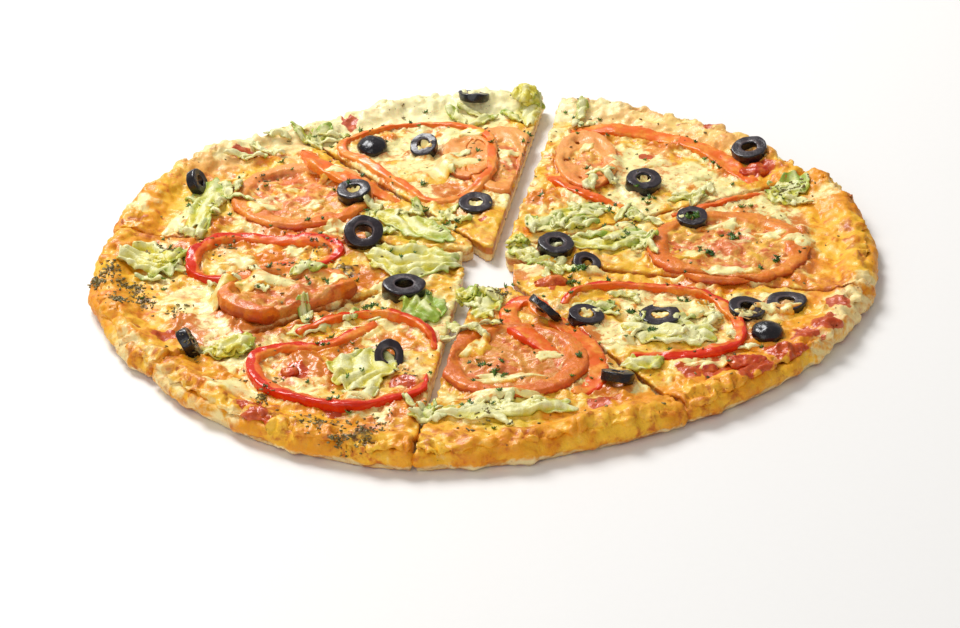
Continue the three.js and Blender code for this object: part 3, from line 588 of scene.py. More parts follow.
class Relief:
    """Heights on a square grid over the plan, in millimetres: at first nothing, then what is laid down."""
    reach = 175  # from the middle to the sides of the grid

    def __init__(self, cell=1.0):
        self.cell = cell
        self.count = int(2 * self.reach / cell) + 1
        self.heights = np.zeros((self.count, self.count))

    def raise_to(self, x, y, heights):
        cells = [np.rint((way + self.reach) / self.cell).astype(int) for way in (x, y)]
        i, j = (np.clip(cell, 0, self.count - 1) for cell in cells)
        np.maximum.at(self.heights, (i, j), heights)

    def add(self, *pieces):
        for piece in pieces:
            places = points(piece)
            self.raise_to(*plan_of(places), places[:, 2] / MM)

    def add_strands(self, count, chance):
        """Grated strands strewn at random, each rounded across and 1 high at most."""
        steps = np.linspace(0, 1, 30)
        widest = 2  # how far a strand reaches to its sides
        trails = []
        for _ in range(count):
            angle = chance.uniform(0, math.tau)
            out = STREWN_OUT_TO * math.sqrt(chance.random())
            heading = chance.uniform(0, math.tau)
            bend = chance.uniform(-0.16, 0.16)
            long = chance.uniform(6, 16)
            half = chance.uniform(1.0, 2.1)
            high = chance.uniform(0.4, 1)
            turning = heading + bend * long * (steps - 0.5)
            x = out * math.cos(angle) + np.cumsum(np.cos(turning)) * long / len(steps)
            y = RIM_CENTRE[1] + out * math.sin(angle) + np.cumsum(np.sin(turning)) * long / len(steps)
            ends = np.sqrt(np.clip(1 - (2 * steps - 1) ** 4, 0, 1))
            trails.append((x, y, half * ends, high * ends))
        x, y, half, high = (np.concatenate(row) for row in zip(*trails))
        around = np.arange(-widest, widest + 0.1, self.cell)
        for east in around:
            for north in around:
                share = 1 - (east ** 2 + north ** 2) / np.maximum(half, 0.3) ** 2
                self.raise_to(x + east, y + north, high * np.sqrt(np.clip(share, 0, 1)))

    def blurred(self, grid, radius):
        """A grid with each value the mean of those within a radius in millimetres."""
        steps = max(1, int(round(radius / self.cell)))
        for axis in (0, 1):
            grid = sum(np.roll(grid, step, axis) for step in range(-steps, steps + 1)) / (2 * steps + 1)
        return grid

    def soft(self, radius):
        """The heights with hollows bridged and hills rounded over a radius in millimetres."""
        return self.blurred(self.heights, radius)

    def at(self, x, y, grid=None):
        """The heights, or the values of another grid, at plan places between its points."""
        grid = self.heights if grid is None else grid
        last = self.count - 1.001
        u, v = (np.clip((np.asarray(way, float) + self.reach) / self.cell, 0, last) for way in (x, y))
        i, j = u.astype(int), v.astype(int)
        a, b = u - i, v - j
        return (grid[i, j] * (1 - a) * (1 - b) + grid[i + 1, j] * a * (1 - b)
                + grid[i, j + 1] * (1 - a) * b + grid[i + 1, j + 1] * a * b)


relief = Relief()  # all that is laid down so far
toppings = Relief()  # the tomatoes, peppers and olives alone
grated = Relief(0.5)  # the strands of grated cheese that still show in the melted layer


# ---- Shader maths ----

class Value:
    """A number, colour or vector on its way through a material's nodes."""

    def __init__(self, paint, socket):
        self.paint = paint
        self.socket = socket

    def maths(self, operation, first, second):
        return self.paint.node("ShaderNodeMath", {"operation": operation}, {0: first, 1: second})

    def __add__(self, other):
        return self.maths("ADD", self, other)

    __radd__ = __add__

    def __sub__(self, other):
        return self.maths("SUBTRACT", self, other)

    def __rsub__(self, other):
        return self.maths("SUBTRACT", other, self)

    def __mul__(self, other):
        return self.maths("MULTIPLY", self, other)

    __rmul__ = __mul__

    def smooth(self, low, high):
        """0 below low, 1 above high, and smooth between."""
        return self.paint.node(
            "ShaderNodeMapRange", {"interpolation_type": "SMOOTHSTEP"},
            {"Value": self, "From Min": low, "From Max": high})


class Paint:
    """A material made of nodes."""
    mix_first, mix_second, mix_result = 6, 7, 2  # the colour sockets of a mix node

    def __init__(self, name):
        self.material = bpy.data.materials.new(name)
        self.material.use_nodes = True
        self.tree = self.material.node_tree
        self.tree.nodes.clear()
        self.place = self.node("ShaderNodeTexCoord", out="Object")

    def node(self, kind, settings=None, sockets=None, out=0):
        made = self.tree.nodes.new(kind)
        for key, value in (settings or {}).items():
            setattr(made, key, value)
        for key, value in (sockets or {}).items():
            if isinstance(value, Value):
                self.tree.links.new(value.socket, made.inputs[key])
            elif isinstance(value, tuple) and len(value) == 3 and made.inputs[key].type == "RGBA":
                made.inputs[key].default_value = (*value, 1)
            else:
                made.inputs[key].default_value = value
        return Value(self, made.outputs[out])

    def noise(self, pitch, detail, roughness=0.5, distortion=0):
        """Soft noise whose lumps are about pitch millimetres across."""
        return self.node("ShaderNodeTexNoise", None, {
            "Vector": self.place, "Scale": 1 / (pitch * MM), "Detail": detail,
            "Roughness": roughness, "Distortion": distortion})

    def cells(self, pitch):
        """How far each point is from the nearest of scattered dots, about pitch millimetres apart."""
        sockets = {"Vector": self.place, "Scale": 1 / (pitch * MM)}
        return self.node("ShaderNodeTexVoronoi", None, sockets, "Distance")

    def mark(self, name):
        """A number that the piece keeps for each of its points."""
        return self.node("ShaderNodeAttribute", {"attribute_name": name}, None, "Fac")

    def mix(self, share, first, second):
        """A share of the second colour in the first."""
        colours = [each if isinstance(each, Value) else tuple(each) for each in (first, second)]
        sockets = {0: share, self.mix_first: colours[0], self.mix_second: colours[1]}
        return self.node("ShaderNodeMix", {"data_type": "RGBA"}, sockets, self.mix_result)

    def bump(self, height, distance):
        """Dents and bumps of a height times distance in millimetres."""
        return self.node("ShaderNodeBump", None, {"Height": height, "Distance": distance * MM})

    def finish(self, base, roughness, normal, soft=0, spread=(3, 1.5, 0.6), gloss=0.5,
               coat=0, coat_roughness=0.03):
        """Ends the material in a surface in which light spreads, in millimetres for red, green and blue."""
        surface = self.node("ShaderNodeBsdfPrincipled", None, {
            "Base Color": base, "Roughness": roughness, "Normal": normal, "Subsurface Weight": soft,
            "Subsurface Radius": Vector(spread) * MM, "Subsurface Scale": 1, "Specular IOR Level": gloss,
            "Coat Weight": coat, "Coat Roughness": coat_roughness})
        end = self.tree.nodes.new("ShaderNodeOutputMaterial")
        self.tree.links.new(surface.socket, end.inputs["Surface"])
        return self.material


# ---- Finishes ----

def baked_edge(paint, look, patch, small):
    """The colours of the baked edge, which run on from the dough to the cheese."""
    broad = paint.noise(19, 2)
    crest = paint.mark("crest")
    golden = (broad * 0.9 + patch * 0.6 + crest * 0.12).smooth(0.56, 0.88)
    base = paint.mix(golden, EDGE_YELLOW, look.golden)
    amber = (small * 0.6 + patch * 0.6).smooth(0.6, 0.8)
    base = paint.mix(amber * 0.85, base, EDGE_AMBER)
    pale = paint.mark("pale") * 0.5 - paint.mark("brown") * 0.25 + (0.5 - patch) * 1.6
    pale = (pale + (small - 0.5) * 0.9 - crest * 0.12).smooth(0.12, 0.6)
    base = paint.mix(pale * 0.9, base, EDGE_PALE)
    # Painted light: the edge is painted paler towards the back, and browns less there.
    base = paint.mix(paint.mark("painted_light") * (1.5 - patch), base, EDGE_PAINTED_LIGHT)
    brown = (paint.mark("brown") * 0.3 + (small - 0.5) * 1.2 + (patch - 0.5) * 1.3).smooth(0.12, 0.62)
    base = paint.mix(brown * (0.8 - paint.mark("painted_light") * 0.4), base, look.brown)
    specks = (1 - paint.cells(5).smooth(0.05, 0.11)) * broad.smooth(0.42, 0.55) * 0.8
    return paint.mix(specks, base, EDGE_SPECK)


def dough_paint(look):
    """Pale and floury at the foot and the cuts, golden to brown on the edge."""
    paint = Paint("baked_dough")
    patch = paint.noise(8, 4, 0.62, 0.6)
    small = paint.noise(3.2, 4, 0.6, 0.4)
    fine = paint.noise(1.1, 4, 0.6)
    foot = (paint.mark("up") * 1.5 + (patch - 0.5) * 1.3 + (small - 0.5) * 0.8).smooth(0.1, 0.6)
    crumb = paint.mix((patch + (fine - 0.5) * 0.4).smooth(0.4, 0.7), look.pale, CRUMB_SHADE)
    base = paint.mix(foot * paint.mark("outer"), crumb, baked_edge(paint, look, patch, small))
    browned = paint.mark("under").smooth(0.3, 0.6) * patch.smooth(0.36, 0.6) * 0.8
    base = paint.mix(browned, base, look.brown)
    base = paint.mix((1 - fine).smooth(0.52, 0.75) * 0.35, base, CRUMB_PORE)
    return paint.finish(base, 0.5 + (fine - 0.5) * 0.3, paint.bump(fine * 0.45 + small * 0.6, 0.7),
                        soft=0.06, gloss=0.35, coat=0.06, coat_roughness=0.3)


def cheese_paint(look, greens, dough):
    """Cream to butter yellow, with oil, sauce and herbs in it, and baked like the dough on the edge."""
    paint = Paint("melted_cheese")
    broad = paint.noise(24, 2)
    patch = paint.noise(8, 4, 0.62, 0.6)
    small = paint.noise(3.2, 4, 0.6, 0.4)
    fine = paint.noise(1.0, 3, 0.6)
    rim = paint.mark("rim")
    strand = paint.mark("strand")
    wander = (patch - 0.5) * 1.3 + (small - 0.5) * 1.0
    buttery = (broad + (patch - 0.5) * 0.9 - paint.mark("cream") * 0.6).smooth(0.3, 0.56)
    base = paint.mix(buttery, look.cream, look.butter)
    golden = (small + (patch - 0.5) * 0.9).smooth(0.54, 0.74) * (1 - rim)
    base = paint.mix(golden * 0.85, base, look.gold)
    oily = (paint.mark("oil") * 0.8 + wander - strand * 0.2).smooth(0.2, 0.8)
    base = paint.mix(oily * 0.85, base, look.oil)
    base = paint.mix((strand * 0.9 + wander * 0.8).smooth(0.7, 1.15) * 0.6, base, look.cream)
    blush = (paint.noise(14, 3, 0.6, 0.4) + (small - 0.5) * 0.4).smooth(0.54, 0.68) * 0.5
    base = paint.mix(blush * (1 - rim), base, CHEESE_BLUSH)
    hollow = (1 - strand).smooth(0.5, 1.0) * (small + oily * 0.3).smooth(0.44, 0.72)
    base = paint.mix(hollow * 0.7, base, CHEESE_HOLLOW)
    beside = (paint.mark("beside") + (patch - 0.5) * 1.4 + (small - 0.5) * 0.6).smooth(0.35, 1.1)
    base = paint.mix(beside * 0.7, base, CHEESE_DIP)
    baked = (rim * 1.3 + wander * 0.8 - 0.15).smooth(0.15, 0.7)
    base = paint.mix(baked, base, baked_edge(paint, dough, patch, small))
    brown = (paint.mark("brown") * 0.5 + wander * 0.9).smooth(0.5, 0.9)
    base = paint.mix(brown * 0.8, base, look.brown)
    cut = paint.mark("side") * (patch + small * 0.5).smooth(0.55, 0.85)
    base = paint.mix(cut * 0.8, base, look.brown)
    red = (paint.mark("sauce") * 1.1 + wander * 0.8).smooth(0.5, 0.72)
    base = paint.mix(red * 0.92, base, paint.mix(small.smooth(0.4, 0.65), look.sauce, THIN_SAUCE))
    green = (paint.mark("leaf") * 0.9 + wander * 0.7).smooth(0.45, 0.85) * 0.6
    base = paint.mix(green, base, greens.yellow)
    specks = (1 - paint.cells(2.6).smooth(0.06, 0.13)) * paint.noise(9, 2).smooth(0.48, 0.6) * 0.6
    stained = (paint.mark("herb") * 0.8 + (small - 0.5) * 2.2 + (fine - 0.5) * 0.8).smooth(0.62, 0.9) * 0.8
    base = paint.mix(stained, base, HERB_STAIN)
    base = paint.mix(specks, base, greens.dried)
    rough = 0.38 - oily * 0.12 - red * 0.14 + (fine - 0.5) * 0.25 + baked * 0.12
    texture = (patch * 0.2 + small * 0.5 + fine * 0.2) * (1 - paint.mark("cream") * 0.5)
    return paint.finish(base, rough, paint.bump(texture, 0.8),
                        soft=0.1, spread=(3, 1.5, 0.5), gloss=0.4, coat=0.16, coat_roughness=0.16)


def tomato_paint(look, cheese):
    """An orange wall with a redder skin, round a core of jelly and melted cheese, with light painted on the
    slices at the back.
    """
    paint = Paint("baked_tomato")
    broad = paint.noise(13, 2)
    patch = paint.noise(6, 4, 0.6, 0.5)
    small = paint.noise(1.8, 4, 0.65)
    jelly = paint.mark("jelly")
    strand = paint.mark("strand")
    wall = paint.mix((broad + (patch - 0.5) * 0.8).smooth(0.36, 0.66), look.flesh, WALL_LIGHT)
    wall = paint.mix((small * 0.4 + patch * 0.8).smooth(0.62, 0.8) * 0.4, wall, WALL_PALE)
    # Deeper patches stay off the back, where the slices get painted light and look paler.
    deep = (1 - paint.mark("painted_light")) * (patch + (small - 0.5) * 0.5).smooth(0.42, 0.66) * 0.6
    wall = paint.mix(deep, wall, WALL_DEEP)
    wall = paint.mix(paint.mark("painted_light") * 0.6, wall, WALL_PAINTED_LIGHT)
    core = paint.mix((broad + (patch - 0.5) * 1.0).smooth(0.36, 0.62), CORE_PINK, look.jelly)
    core = paint.mix((1 - patch + (small - 0.5) * 0.5).smooth(0.5, 0.7) * 0.9, core, CORE_RED)
    melted = (strand * 0.8 + (patch - 0.5) * 1.6 + (small - 0.5) * 0.4 + jelly * 0.1).smooth(0.4, 0.8)
    core = paint.mix(melted * 0.75, core, paint.mix(broad.smooth(0.4, 0.6), cheese.cream, cheese.butter))
    # Darker towards the front.
    baked = paint.mark("baked") * (0.15 + patch.smooth(0.42, 0.6) * 0.65)
    wall = paint.mix(baked, wall, WALL_FRONT_DARK)
    core = paint.mix(baked, core, CORE_FRONT_DARK)
    base = paint.mix(paint.mark("inside").smooth(0.3, 0.7), wall, core)
    skin = (paint.mark("skin") * 0.8 + (patch - 0.5) * 1.1 + (small - 0.5) * 0.4).smooth(0.3, 0.9)
    base = paint.mix(skin, base, paint.mix(patch.smooth(0.4, 0.6), look.skin, SKIN_LIGHT))
    # Darker red-brown low on the outer wall.
    low_dark = (paint.mark("low") * 1.1 + (patch - 0.5) * 1.6 + (small - 0.5) * 0.5).smooth(0.3, 0.9) * 0.8
    base = paint.mix(low_dark, base, SKIN_LOW_DARK)
    return paint.finish(base, 0.28 + small * 0.22, paint.bump(patch * 0.5 + small * 0.6, 0.7),
                        soft=0.08, spread=(4, 1, 0.4), gloss=0.4, coat=0.2, coat_roughness=0.1)


def chunk_paint():
    """Cooked tomato, from red to orange."""
    paint = Paint("tomato_chunk")
    patch = paint.noise(5, 4, 0.6, 0.5)
    small = paint.noise(1.6, 3, 0.6)
    tone = paint.mark("tone")
    ripe = paint.mix(tone, LUMP_RED, LUMP_ORANGE)
    pale = paint.mix(tone, LUMP_LIGHT_RED, LUMP_PALE)
    base = paint.mix((patch + (small - 0.5) * 0.5).smooth(0.4, 0.68), ripe, pale)
    return paint.finish(base, 0.28 + small * 0.2, paint.bump(patch * 0.5 + small * 0.5, 0.6),
                        soft=0.06, spread=(4, 0.8, 0.3), gloss=0.3, coat=0.25, coat_roughness=0.08)


def pepper_paint(look):
    """A glossy skin, red to pale orange, with paler flesh towards the inside."""
    paint = Paint("baked_pepper")
    patch = paint.noise(9, 3, 0.55)
    small = paint.noise(2.2, 3, 0.6)
    tone = paint.mark("tone")
    flesh = paint.mark("flesh")
    skin = paint.mix((tone + (patch - 0.5) * 0.6).smooth(0.15, 0.85), look.red, look.orange)
    skin = paint.mix((small + patch - 0.6).smooth(0.4, 0.75) * 0.6 * (1 - tone), skin, PEPPER_SCARLET)
    skin = paint.mix((tone - 0.85).smooth(0, 0.35) * (patch + 0.3), skin, PEPPER_PALE)
    skin = paint.mix((1 - patch + (small - 0.5) * 0.5).smooth(0.58, 0.74) * 0.4, skin, PEPPER_DARK)
    inner = paint.mix((patch + (small - 0.5) * 0.6).smooth(0.42, 0.7), look.flesh, PEPPER_FLESH)
    base = paint.mix((flesh + (small - 0.5) * 0.3).smooth(0.3, 0.7) * 0.92, skin, inner)
    rough = 0.24 + flesh * 0.16 + (small - 0.5) * 0.1
    return paint.finish(base, rough, paint.bump(patch * 0.5 + small * 0.4, 0.5),
                        soft=0.06, spread=(4, 0.8, 0.3), gloss=0.3, coat=0.2, coat_roughness=0.14)


def olive_paint(look):
    """Nearly black, with a duller cut and a painted highlight round the stone's hole."""
    paint = Paint("black_olive")
    patch = paint.noise(4, 3, 0.6)
    small = paint.noise(0.8, 3, 0.6)
    cut = paint.mark("cut")
    base = paint.mix((cut + (patch - 0.5) * 0.5).smooth(0.35, 0.8) * 0.85, look.skin, look.flesh)
    # Painted highlight round the stone's hole.
    base = paint.mix(paint.mark("hole_highlight").smooth(0.4, 0.9) * 0.6, base, OLIVE_HOLE_HIGHLIGHT)
    base = paint.mix(small.smooth(0.58, 0.7) * 0.25, base, OLIVE_DUST)
    rough = 0.22 + cut * 0.12 + (small - 0.5) * 0.1
    return paint.finish(base, rough, paint.bump(patch * 0.4 + small * 0.5, 0.35),
                        gloss=0.4, coat=0.35, coat_roughness=0.12)


def cabbage_paint(look):
    """Yellow to green leaf, paler where bleached by the oven, with painted highlights on its crests, painted
    shade in its folds, and pale ribs.
    """
    paint = Paint("wilted_cabbage")
    patch = paint.noise(6, 4, 0.6, 0.6)
    small = paint.noise(1.6, 4, 0.6)
    tone = paint.mark("tone")
    crest = paint.mark("crest")
    edge = paint.mark("edge")
    greener = (tone * 1.1 + edge * 0.3 + (patch - 0.5) * 1.3 - 0.15).smooth(0.1, 0.95)
    leaf = paint.mix(greener, look.yellow, look.green)
    # Pale where bleached, with painted highlights on the crests.
    pale_and_highlight = paint.mark("bleached") + crest * 0.25 + (patch - 0.5) * 1.6 + (small - 0.5) * 0.4
    leaf = paint.mix(pale_and_highlight.smooth(0.2, 0.9) * 0.85, leaf, look.pale)
    # Painted shade in the folds.
    leaf = paint.mix((0.1 - crest + (small - 0.5) * 0.8).smooth(0.5, 1.2) * 0.6, leaf, LEAF_FOLD_SHADE)
    base = paint.mix(paint.mark("vein").smooth(0.3, 0.9) * 0.6, leaf, look.pale)
    base = paint.mix((small + edge * 0.12).smooth(0.68, 0.8) * 0.3, base, LEAF_BROWNED)
    return paint.finish(base, 0.34 + small * 0.24, paint.bump(small * 0.5 + patch * 0.5, 0.9),
                        soft=0.06, spread=(2, 2, 0.6), gloss=0.4, coat=0.15, coat_roughness=0.14)


def herb_paint(name, leaf_colour, bright):
    paint = Paint(name)
    patch = paint.noise(2.5, 3)
    base = paint.mix(patch.smooth(0.38, 0.66), leaf_colour, bright)
    return paint.finish(base, 0.5, paint.bump(paint.noise(0.5, 2), 0.15), coat=0.15)


# ---- Dough and cheese ----

def rim_inset(node, x, y):
    """How far in from the outline of its slice each plan place lies, in millimetres."""
    solid_x, solid_y = plan_of(points(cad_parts[node]))
    middle = math.atan2(solid_y.mean() - RIM_CENTRE[1], solid_x.mean() - RIM_CENTRE[0])

    def polar(x, y):
        angle = np.arctan2(y - RIM_CENTRE[1], x - RIM_CENTRE[0])
        return np.angle(np.exp(1j * (angle - middle))), np.hypot(x - RIM_CENTRE[0], y - RIM_CENTRE[1])

    angle, radius = polar(solid_x, solid_y)
    outer = radius > 0.9 * radius.max()
    bins = np.linspace(angle[outer].min(), angle[outer].max(), 10)
    half = (bins[1] - bins[0]) * 0.55
    edge = [radius[outer & (abs(angle - centre) < half)].max() for centre in bins]
    at, away = polar(x, y)
    return np.interp(at, bins, edge) - away


def swell_edge(piece, share, look):
    """Lumps of the baked edge, the same ones on the dough and on the cheese over it."""
    moved = roughen(piece, cloud(13, 2), look.lumps * 2.6, share, 0.45)
    moved += roughen(piece, cloud(5.5, 1), look.lumps * 1.3, share)
    return moved


def mark_bake(piece, x, y, crest):
    """What the colours of the edge follow: what stands out, what stays pale, where light is painted on the
    back, and what browns.
    """
    mark(piece, "crest", np.clip(crest / (CREST * MM), -1, 1))
    mark(piece, "pale", near(x, y, PALE_DOUGH))
    # Painted light, paler towards the back.
    mark(piece, "painted_light", painted_back_light(x, y))
    mark(piece, "brown", near(x, y, BROWNED))


def bake_dough(side, look, paint):
    """The dough of one slice: a lumpy edge, plain cut faces and a flat foot."""
    node = "crust_" + side
    piece = solid_copy(node, "dough_" + side)
    modify(piece, "REMESH", mode="VOXEL", voxel_size=look.grain)
    modify(piece, "SMOOTH", factor=0.5, iterations=3)
    places = points(piece)
    inset = rim_inset(node, *plan_of(places))
    height = places[:, 2] / MM
    outside = (1 - rise(inset, 5, 10)) * rise(height, 0.2, 2.0)
    cut_face = 0.2 * rise(height, 0.3, 1.0) * (1 - rise(height, 2.6, 3.6)) * rise(inset, 7, 9)
    swollen = outside * (1 - rise(inset, 1.5, 4.5)) * rise(height, 1, 5) * look.swell
    set_points(piece, places + normals(piece) * swollen[:, None])
    crest = swell_edge(piece, outside, look)
    crest += roughen(piece, cloud(2.4, 2), look.lumps * 0.6, 0.7 * outside + cut_face)
    places = points(piece)
    places[:, 2] = np.maximum(places[:, 2], 0)
    set_points(piece, places)
    mark(piece, "outer", 1 - rise(inset, 6, 15))
    mark(piece, "up", rise(places[:, 2] / MM, 0.3, 8.5))
    mark(piece, "under", rise(-normals(piece)[:, 2], 0.4, 0.9))
    mark_bake(piece, *plan_of(places), crest)
    return finish_piece(piece, "dough_" + side, paint, "crust", node)


def melt_cheese(side, look, dough, paint):
    """The cheese of one slice, which runs down over the edge of the dough."""
    node = "cheese_" + side
    piece = solid_copy(node, "cheese_layer_" + side)
    edit(piece, "FACE")
    pick(piece, lambda face: face.normal.z < -0.5)
    bpy.ops.transform.translate(value=(0, 0, -CHEESE_SUNK * MM))
    leave_edit()
    modify(piece, "REMESH", mode="VOXEL", voxel_size=look.grain)
    modify(piece, "SMOOTH", factor=0.5, iterations=4)
    facing = normals(piece)
    top = rise(facing[:, 2], 0.0, 0.5)
    places = points(piece)
    x, y = plan_of(places)
    inset = rim_inset("crust_" + side, x, y)
    rim = 1 - rise(inset, 14, 30)
    edge = 1 - rise(inset, 12, 24)
    outward = np.stack([x - RIM_CENTRE[0], y - RIM_CENTRE[1]], 1)
    outward /= np.hypot(*outward.T)[:, None]
    reach = (1 - rise(inset, 4, 9)) * (1 + 0.75 * waves(x, y, 10)) * look.lip
    ground = relief.soft(1)
    beyond = (x + outward[:, 0] * reach / MM, y + outward[:, 1] * reach / MM)
    fall = relief.at(x, y, ground) - relief.at(*beyond, ground)
    places[:, :2] += outward * reach[:, None]
    places[:, 2] -= np.clip(fall, -0.3, 2.5) * MM
    set_points(piece, places)
    crest = swell_edge(piece, edge, dough)
    crest += roughen(piece, cloud(9, 2), look.lumps, (0.3 + 0.7 * top) * (1 - edge), 0.45)
    smooth = near(x, y, CREAM)
    strand = grated.at(x, y) * top * (1 - 0.9 * smooth)
    places = points(piece)
    places += facing * ((strand - 0.3) * top * look.shreds * (1 - 0.7 * edge))[:, None]
    places[:, 2] += top * near(x, y, LUMPS) * (1.6 + 0.8 * waves(x, y, 5)) * MM
    set_points(piece, places)
    calm = top * (1 - 0.35 * edge)
    crest += roughen(piece, cloud(4.5, 1), look.shreds * 1.5, calm * (1 - 0.72 * smooth))
    crest += roughen(piece, cloud(1.9, 1), look.shreds * 0.35, calm * (1 - 0.85 * smooth))
    x, y = plan_of(points(piece))
    mark(piece, "rim", rim + 0.16 * waves(x, y, 23))
    mark(piece, "strand", strand)
    mark(piece, "side", (1 - rise(facing[:, 2], 0.2, 0.6)) * rise(inset, 5, 9))
    mark(piece, "sauce", near(x, y, SAUCE))
    mark(piece, "oil", np.maximum(near(x, y, OIL), near(x, y, LUMPS)))
    mark(piece, "cream", smooth)
    herb_stains = [(*at, 1.2 * spread) for *at, spread, count in DRIED if count > STAINS_OVER]
    mark(piece, "herb", near(x, y, herb_stains))
    leaf_stains = [(*at, 0.42 * size[0]) for _, at, size, *_ in LEAVES]
    mark(piece, "leaf", near(x, y, leaf_stains))
    mark_bake(piece, x, y, crest)
    return finish_piece(piece, "cheese_layer_" + side, paint, "cheese", node)


# ---- Toppings ----

def slice_tomato(node, centre, radii, hollow, start, look, paint):
    """A piece of a tomato slice, with its wall, its seed chambers and its core."""
    piece = solid_copy(node, node + "_slice")
    modify(piece, "REMESH", mode="VOXEL", voxel_size=look.grain)
    modify(piece, "SMOOTH", factor=0.5, iterations=5)
    places = points(piece)
    x, y = plan_of(places)
    east, north = (x - centre[0]) / radii[0], (y - centre[1]) / radii[1]
    angle = np.arctan2(north, east) + 0.25 * waves(x, y, 31, start)
    out = np.hypot(east, north) + 0.04 * waves(x, y, 17, start)
    top = rise(normals(piece)[:, 2], 0.3, 0.7)
    wall = 1 - (8.4 + 1.6 * np.sin(2 * angle + start)) / radii[0]
    ring = rise(out - wall, -0.05, 0.04)
    spoke = np.abs(np.sin(look.chambers * 0.5 * (angle + start)))
    jelly = (1 - ring) * rise(out, 0.16, 0.3) * rise(spoke, 0.2, 0.5)
    places[:, 2] += top * hollow * look.depth * (0.45 * ring - 0.3 * (1 - ring) - 0.4 * jelly)
    set_points(piece, places)
    busy = top * (1 - 0.88 * ring)
    roughen(piece, cloud(7, 1), 3.0 * MM, busy)
    roughen(piece, cloud(3.6, 1), 1.6 * MM, busy)
    strand = grated.at(x, y) * busy
    places = points(piece)
    places[:, 2] += (strand - 0.25 * busy) * 0.8 * MM
    set_points(piece, places)
    roughen(piece, cloud(9, 1), (2.6 - 1.2 * hollow) * MM)
    roughen(piece, cloud(3.2, 1), 0.6 * MM)
    mark(piece, "jelly", jelly)
    mark(piece, "strand", strand)
    mark(piece, "inside", 1 - ring)
    # Painted light: paler towards the back.
    mark(piece, "painted_light", rise(y, 20, 100))
    # Darker towards the front.
    mark(piece, "baked", rise(-y, 10, 60))
    mark(piece, "skin", rise(out, 0.9, 1.02))
    low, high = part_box(node)
    share_up = (points(piece)[:, 2] - low.z) / (high.z - low.z)
    mark(piece, "low", (1 - rise(share_up, 0.3, 0.9)) * rise(out, 0.6, 0.9))
    return finish_piece(piece, node + "_slice", paint, "tomato", node)


def strip_section(width, height):
    """The closed outline of a pepper wall's cross section, as a curve."""
    outline = [(-0.5, 0.0), (-0.54, 0.5), (-0.53, 0.92), (-0.4, 1.0), (0.1, 0.94), (0.46, 0.86), (0.52, 0.5),
               (0.46, 0.0)]
    curve = bpy.data.curves.new("section", "CURVE")
    spline = curve.splines.new("NURBS")
    spline.points.add(len(outline) - 1)
    for point, (across, up) in zip(spline.points, outline):
        point.co = (-across * width * MM, up * height * MM, 0, 1)
    spline.use_cyclic_u = True
    spline.order_u = 3
    spline.resolution_u = 3
    return bpy.data.objects.new("section", curve)


def cut_pepper(node, width, height, closed, path, tone, chance, paint):
    """A strip of pepper wall laid along its path."""
    section = strip_section(width, height)
    curve = bpy.data.curves.new(node, "CURVE")
    curve.dimensions = "3D"
    curve.twist_mode = "Z_UP"
    curve.bevel_mode = "OBJECT"
    curve.bevel_object = section
    curve.use_fill_caps = not closed
    curve.resolution_u = 10
    spline = curve.splines.new("BEZIER")
    spline.bezier_points.add(len(path) - 1)
    spline.use_cyclic_u = closed
    ground = relief.soft(2)
    for index, (point, (x, y)) in enumerate(zip(spline.bezier_points, path)):
        point.co = place_of(x, y, float(relief.at(x, y, ground)) - PEPPER_SUNK + chance.uniform(-0.3, 0.5))
        point.handle_left_type = point.handle_right_type = "AUTO"
        end = not closed and index in (0, len(path) - 1)
        point.radius = 0.55 if end else chance.uniform(0.78, 1.22)
        point.tilt = chance.uniform(-0.3, 0.3)
    piece = bpy.data.objects.new(node + "_strip", curve)
    bpy.context.scene.collection.objects.link(piece)
    bpy.context.scene.collection.objects.link(section)
    only(piece)
    bpy.ops.object.convert(target="MESH")
    piece = bpy.context.object
    bpy.data.objects.remove(section)
    edit(piece)
    take_all()
    bpy.ops.mesh.remove_doubles(threshold=WELD * MM)
    bpy.ops.mesh.normals_make_consistent(inside=False)
    leave_edit()
    modify(piece, "SUBSURF", levels=1, render_levels=1)
    roughen(piece, cloud(9, 1), 2.0 * MM)
    roughen(piece, cloud(3.4, 1), 0.9 * MM)
    x, y = plan_of(points(piece))
    trail = np.array(path, float)
    if closed:
        trail = np.vstack([trail, trail[:1]])
    steps = np.linspace(0, len(trail) - 1, 40 * len(trail))
    trail = np.stack([np.interp(steps, range(len(trail)), trail[:, axis]) for axis in (0, 1)], 1)
    centre = trail.mean(0)
    apart = np.hypot(x[:, None] - trail[None, :, 0], y[:, None] - trail[None, :, 1])
    nearest = apart.argmin(1)
    outward = np.hypot(x - centre[0], y - centre[1]) - np.hypot(*(trail[nearest] - centre).T)
    facing = normals(piece)
    skin_wide = 1.0 + 1.4 * (1 - tone) + 0.5 * waves(x, y, 13)
    inner = 1 - rise((width / 2 - outward) / skin_wide, 1.3, 0.6)
    mark(piece, "flesh", inner * (0.8 + 0.2 * rise(facing[:, 2], 0.5, 0.9)))
    mark(piece, "tone", np.full(len(x), tone))
    return finish_piece(piece, node + "_strip", paint, "pepper", node)


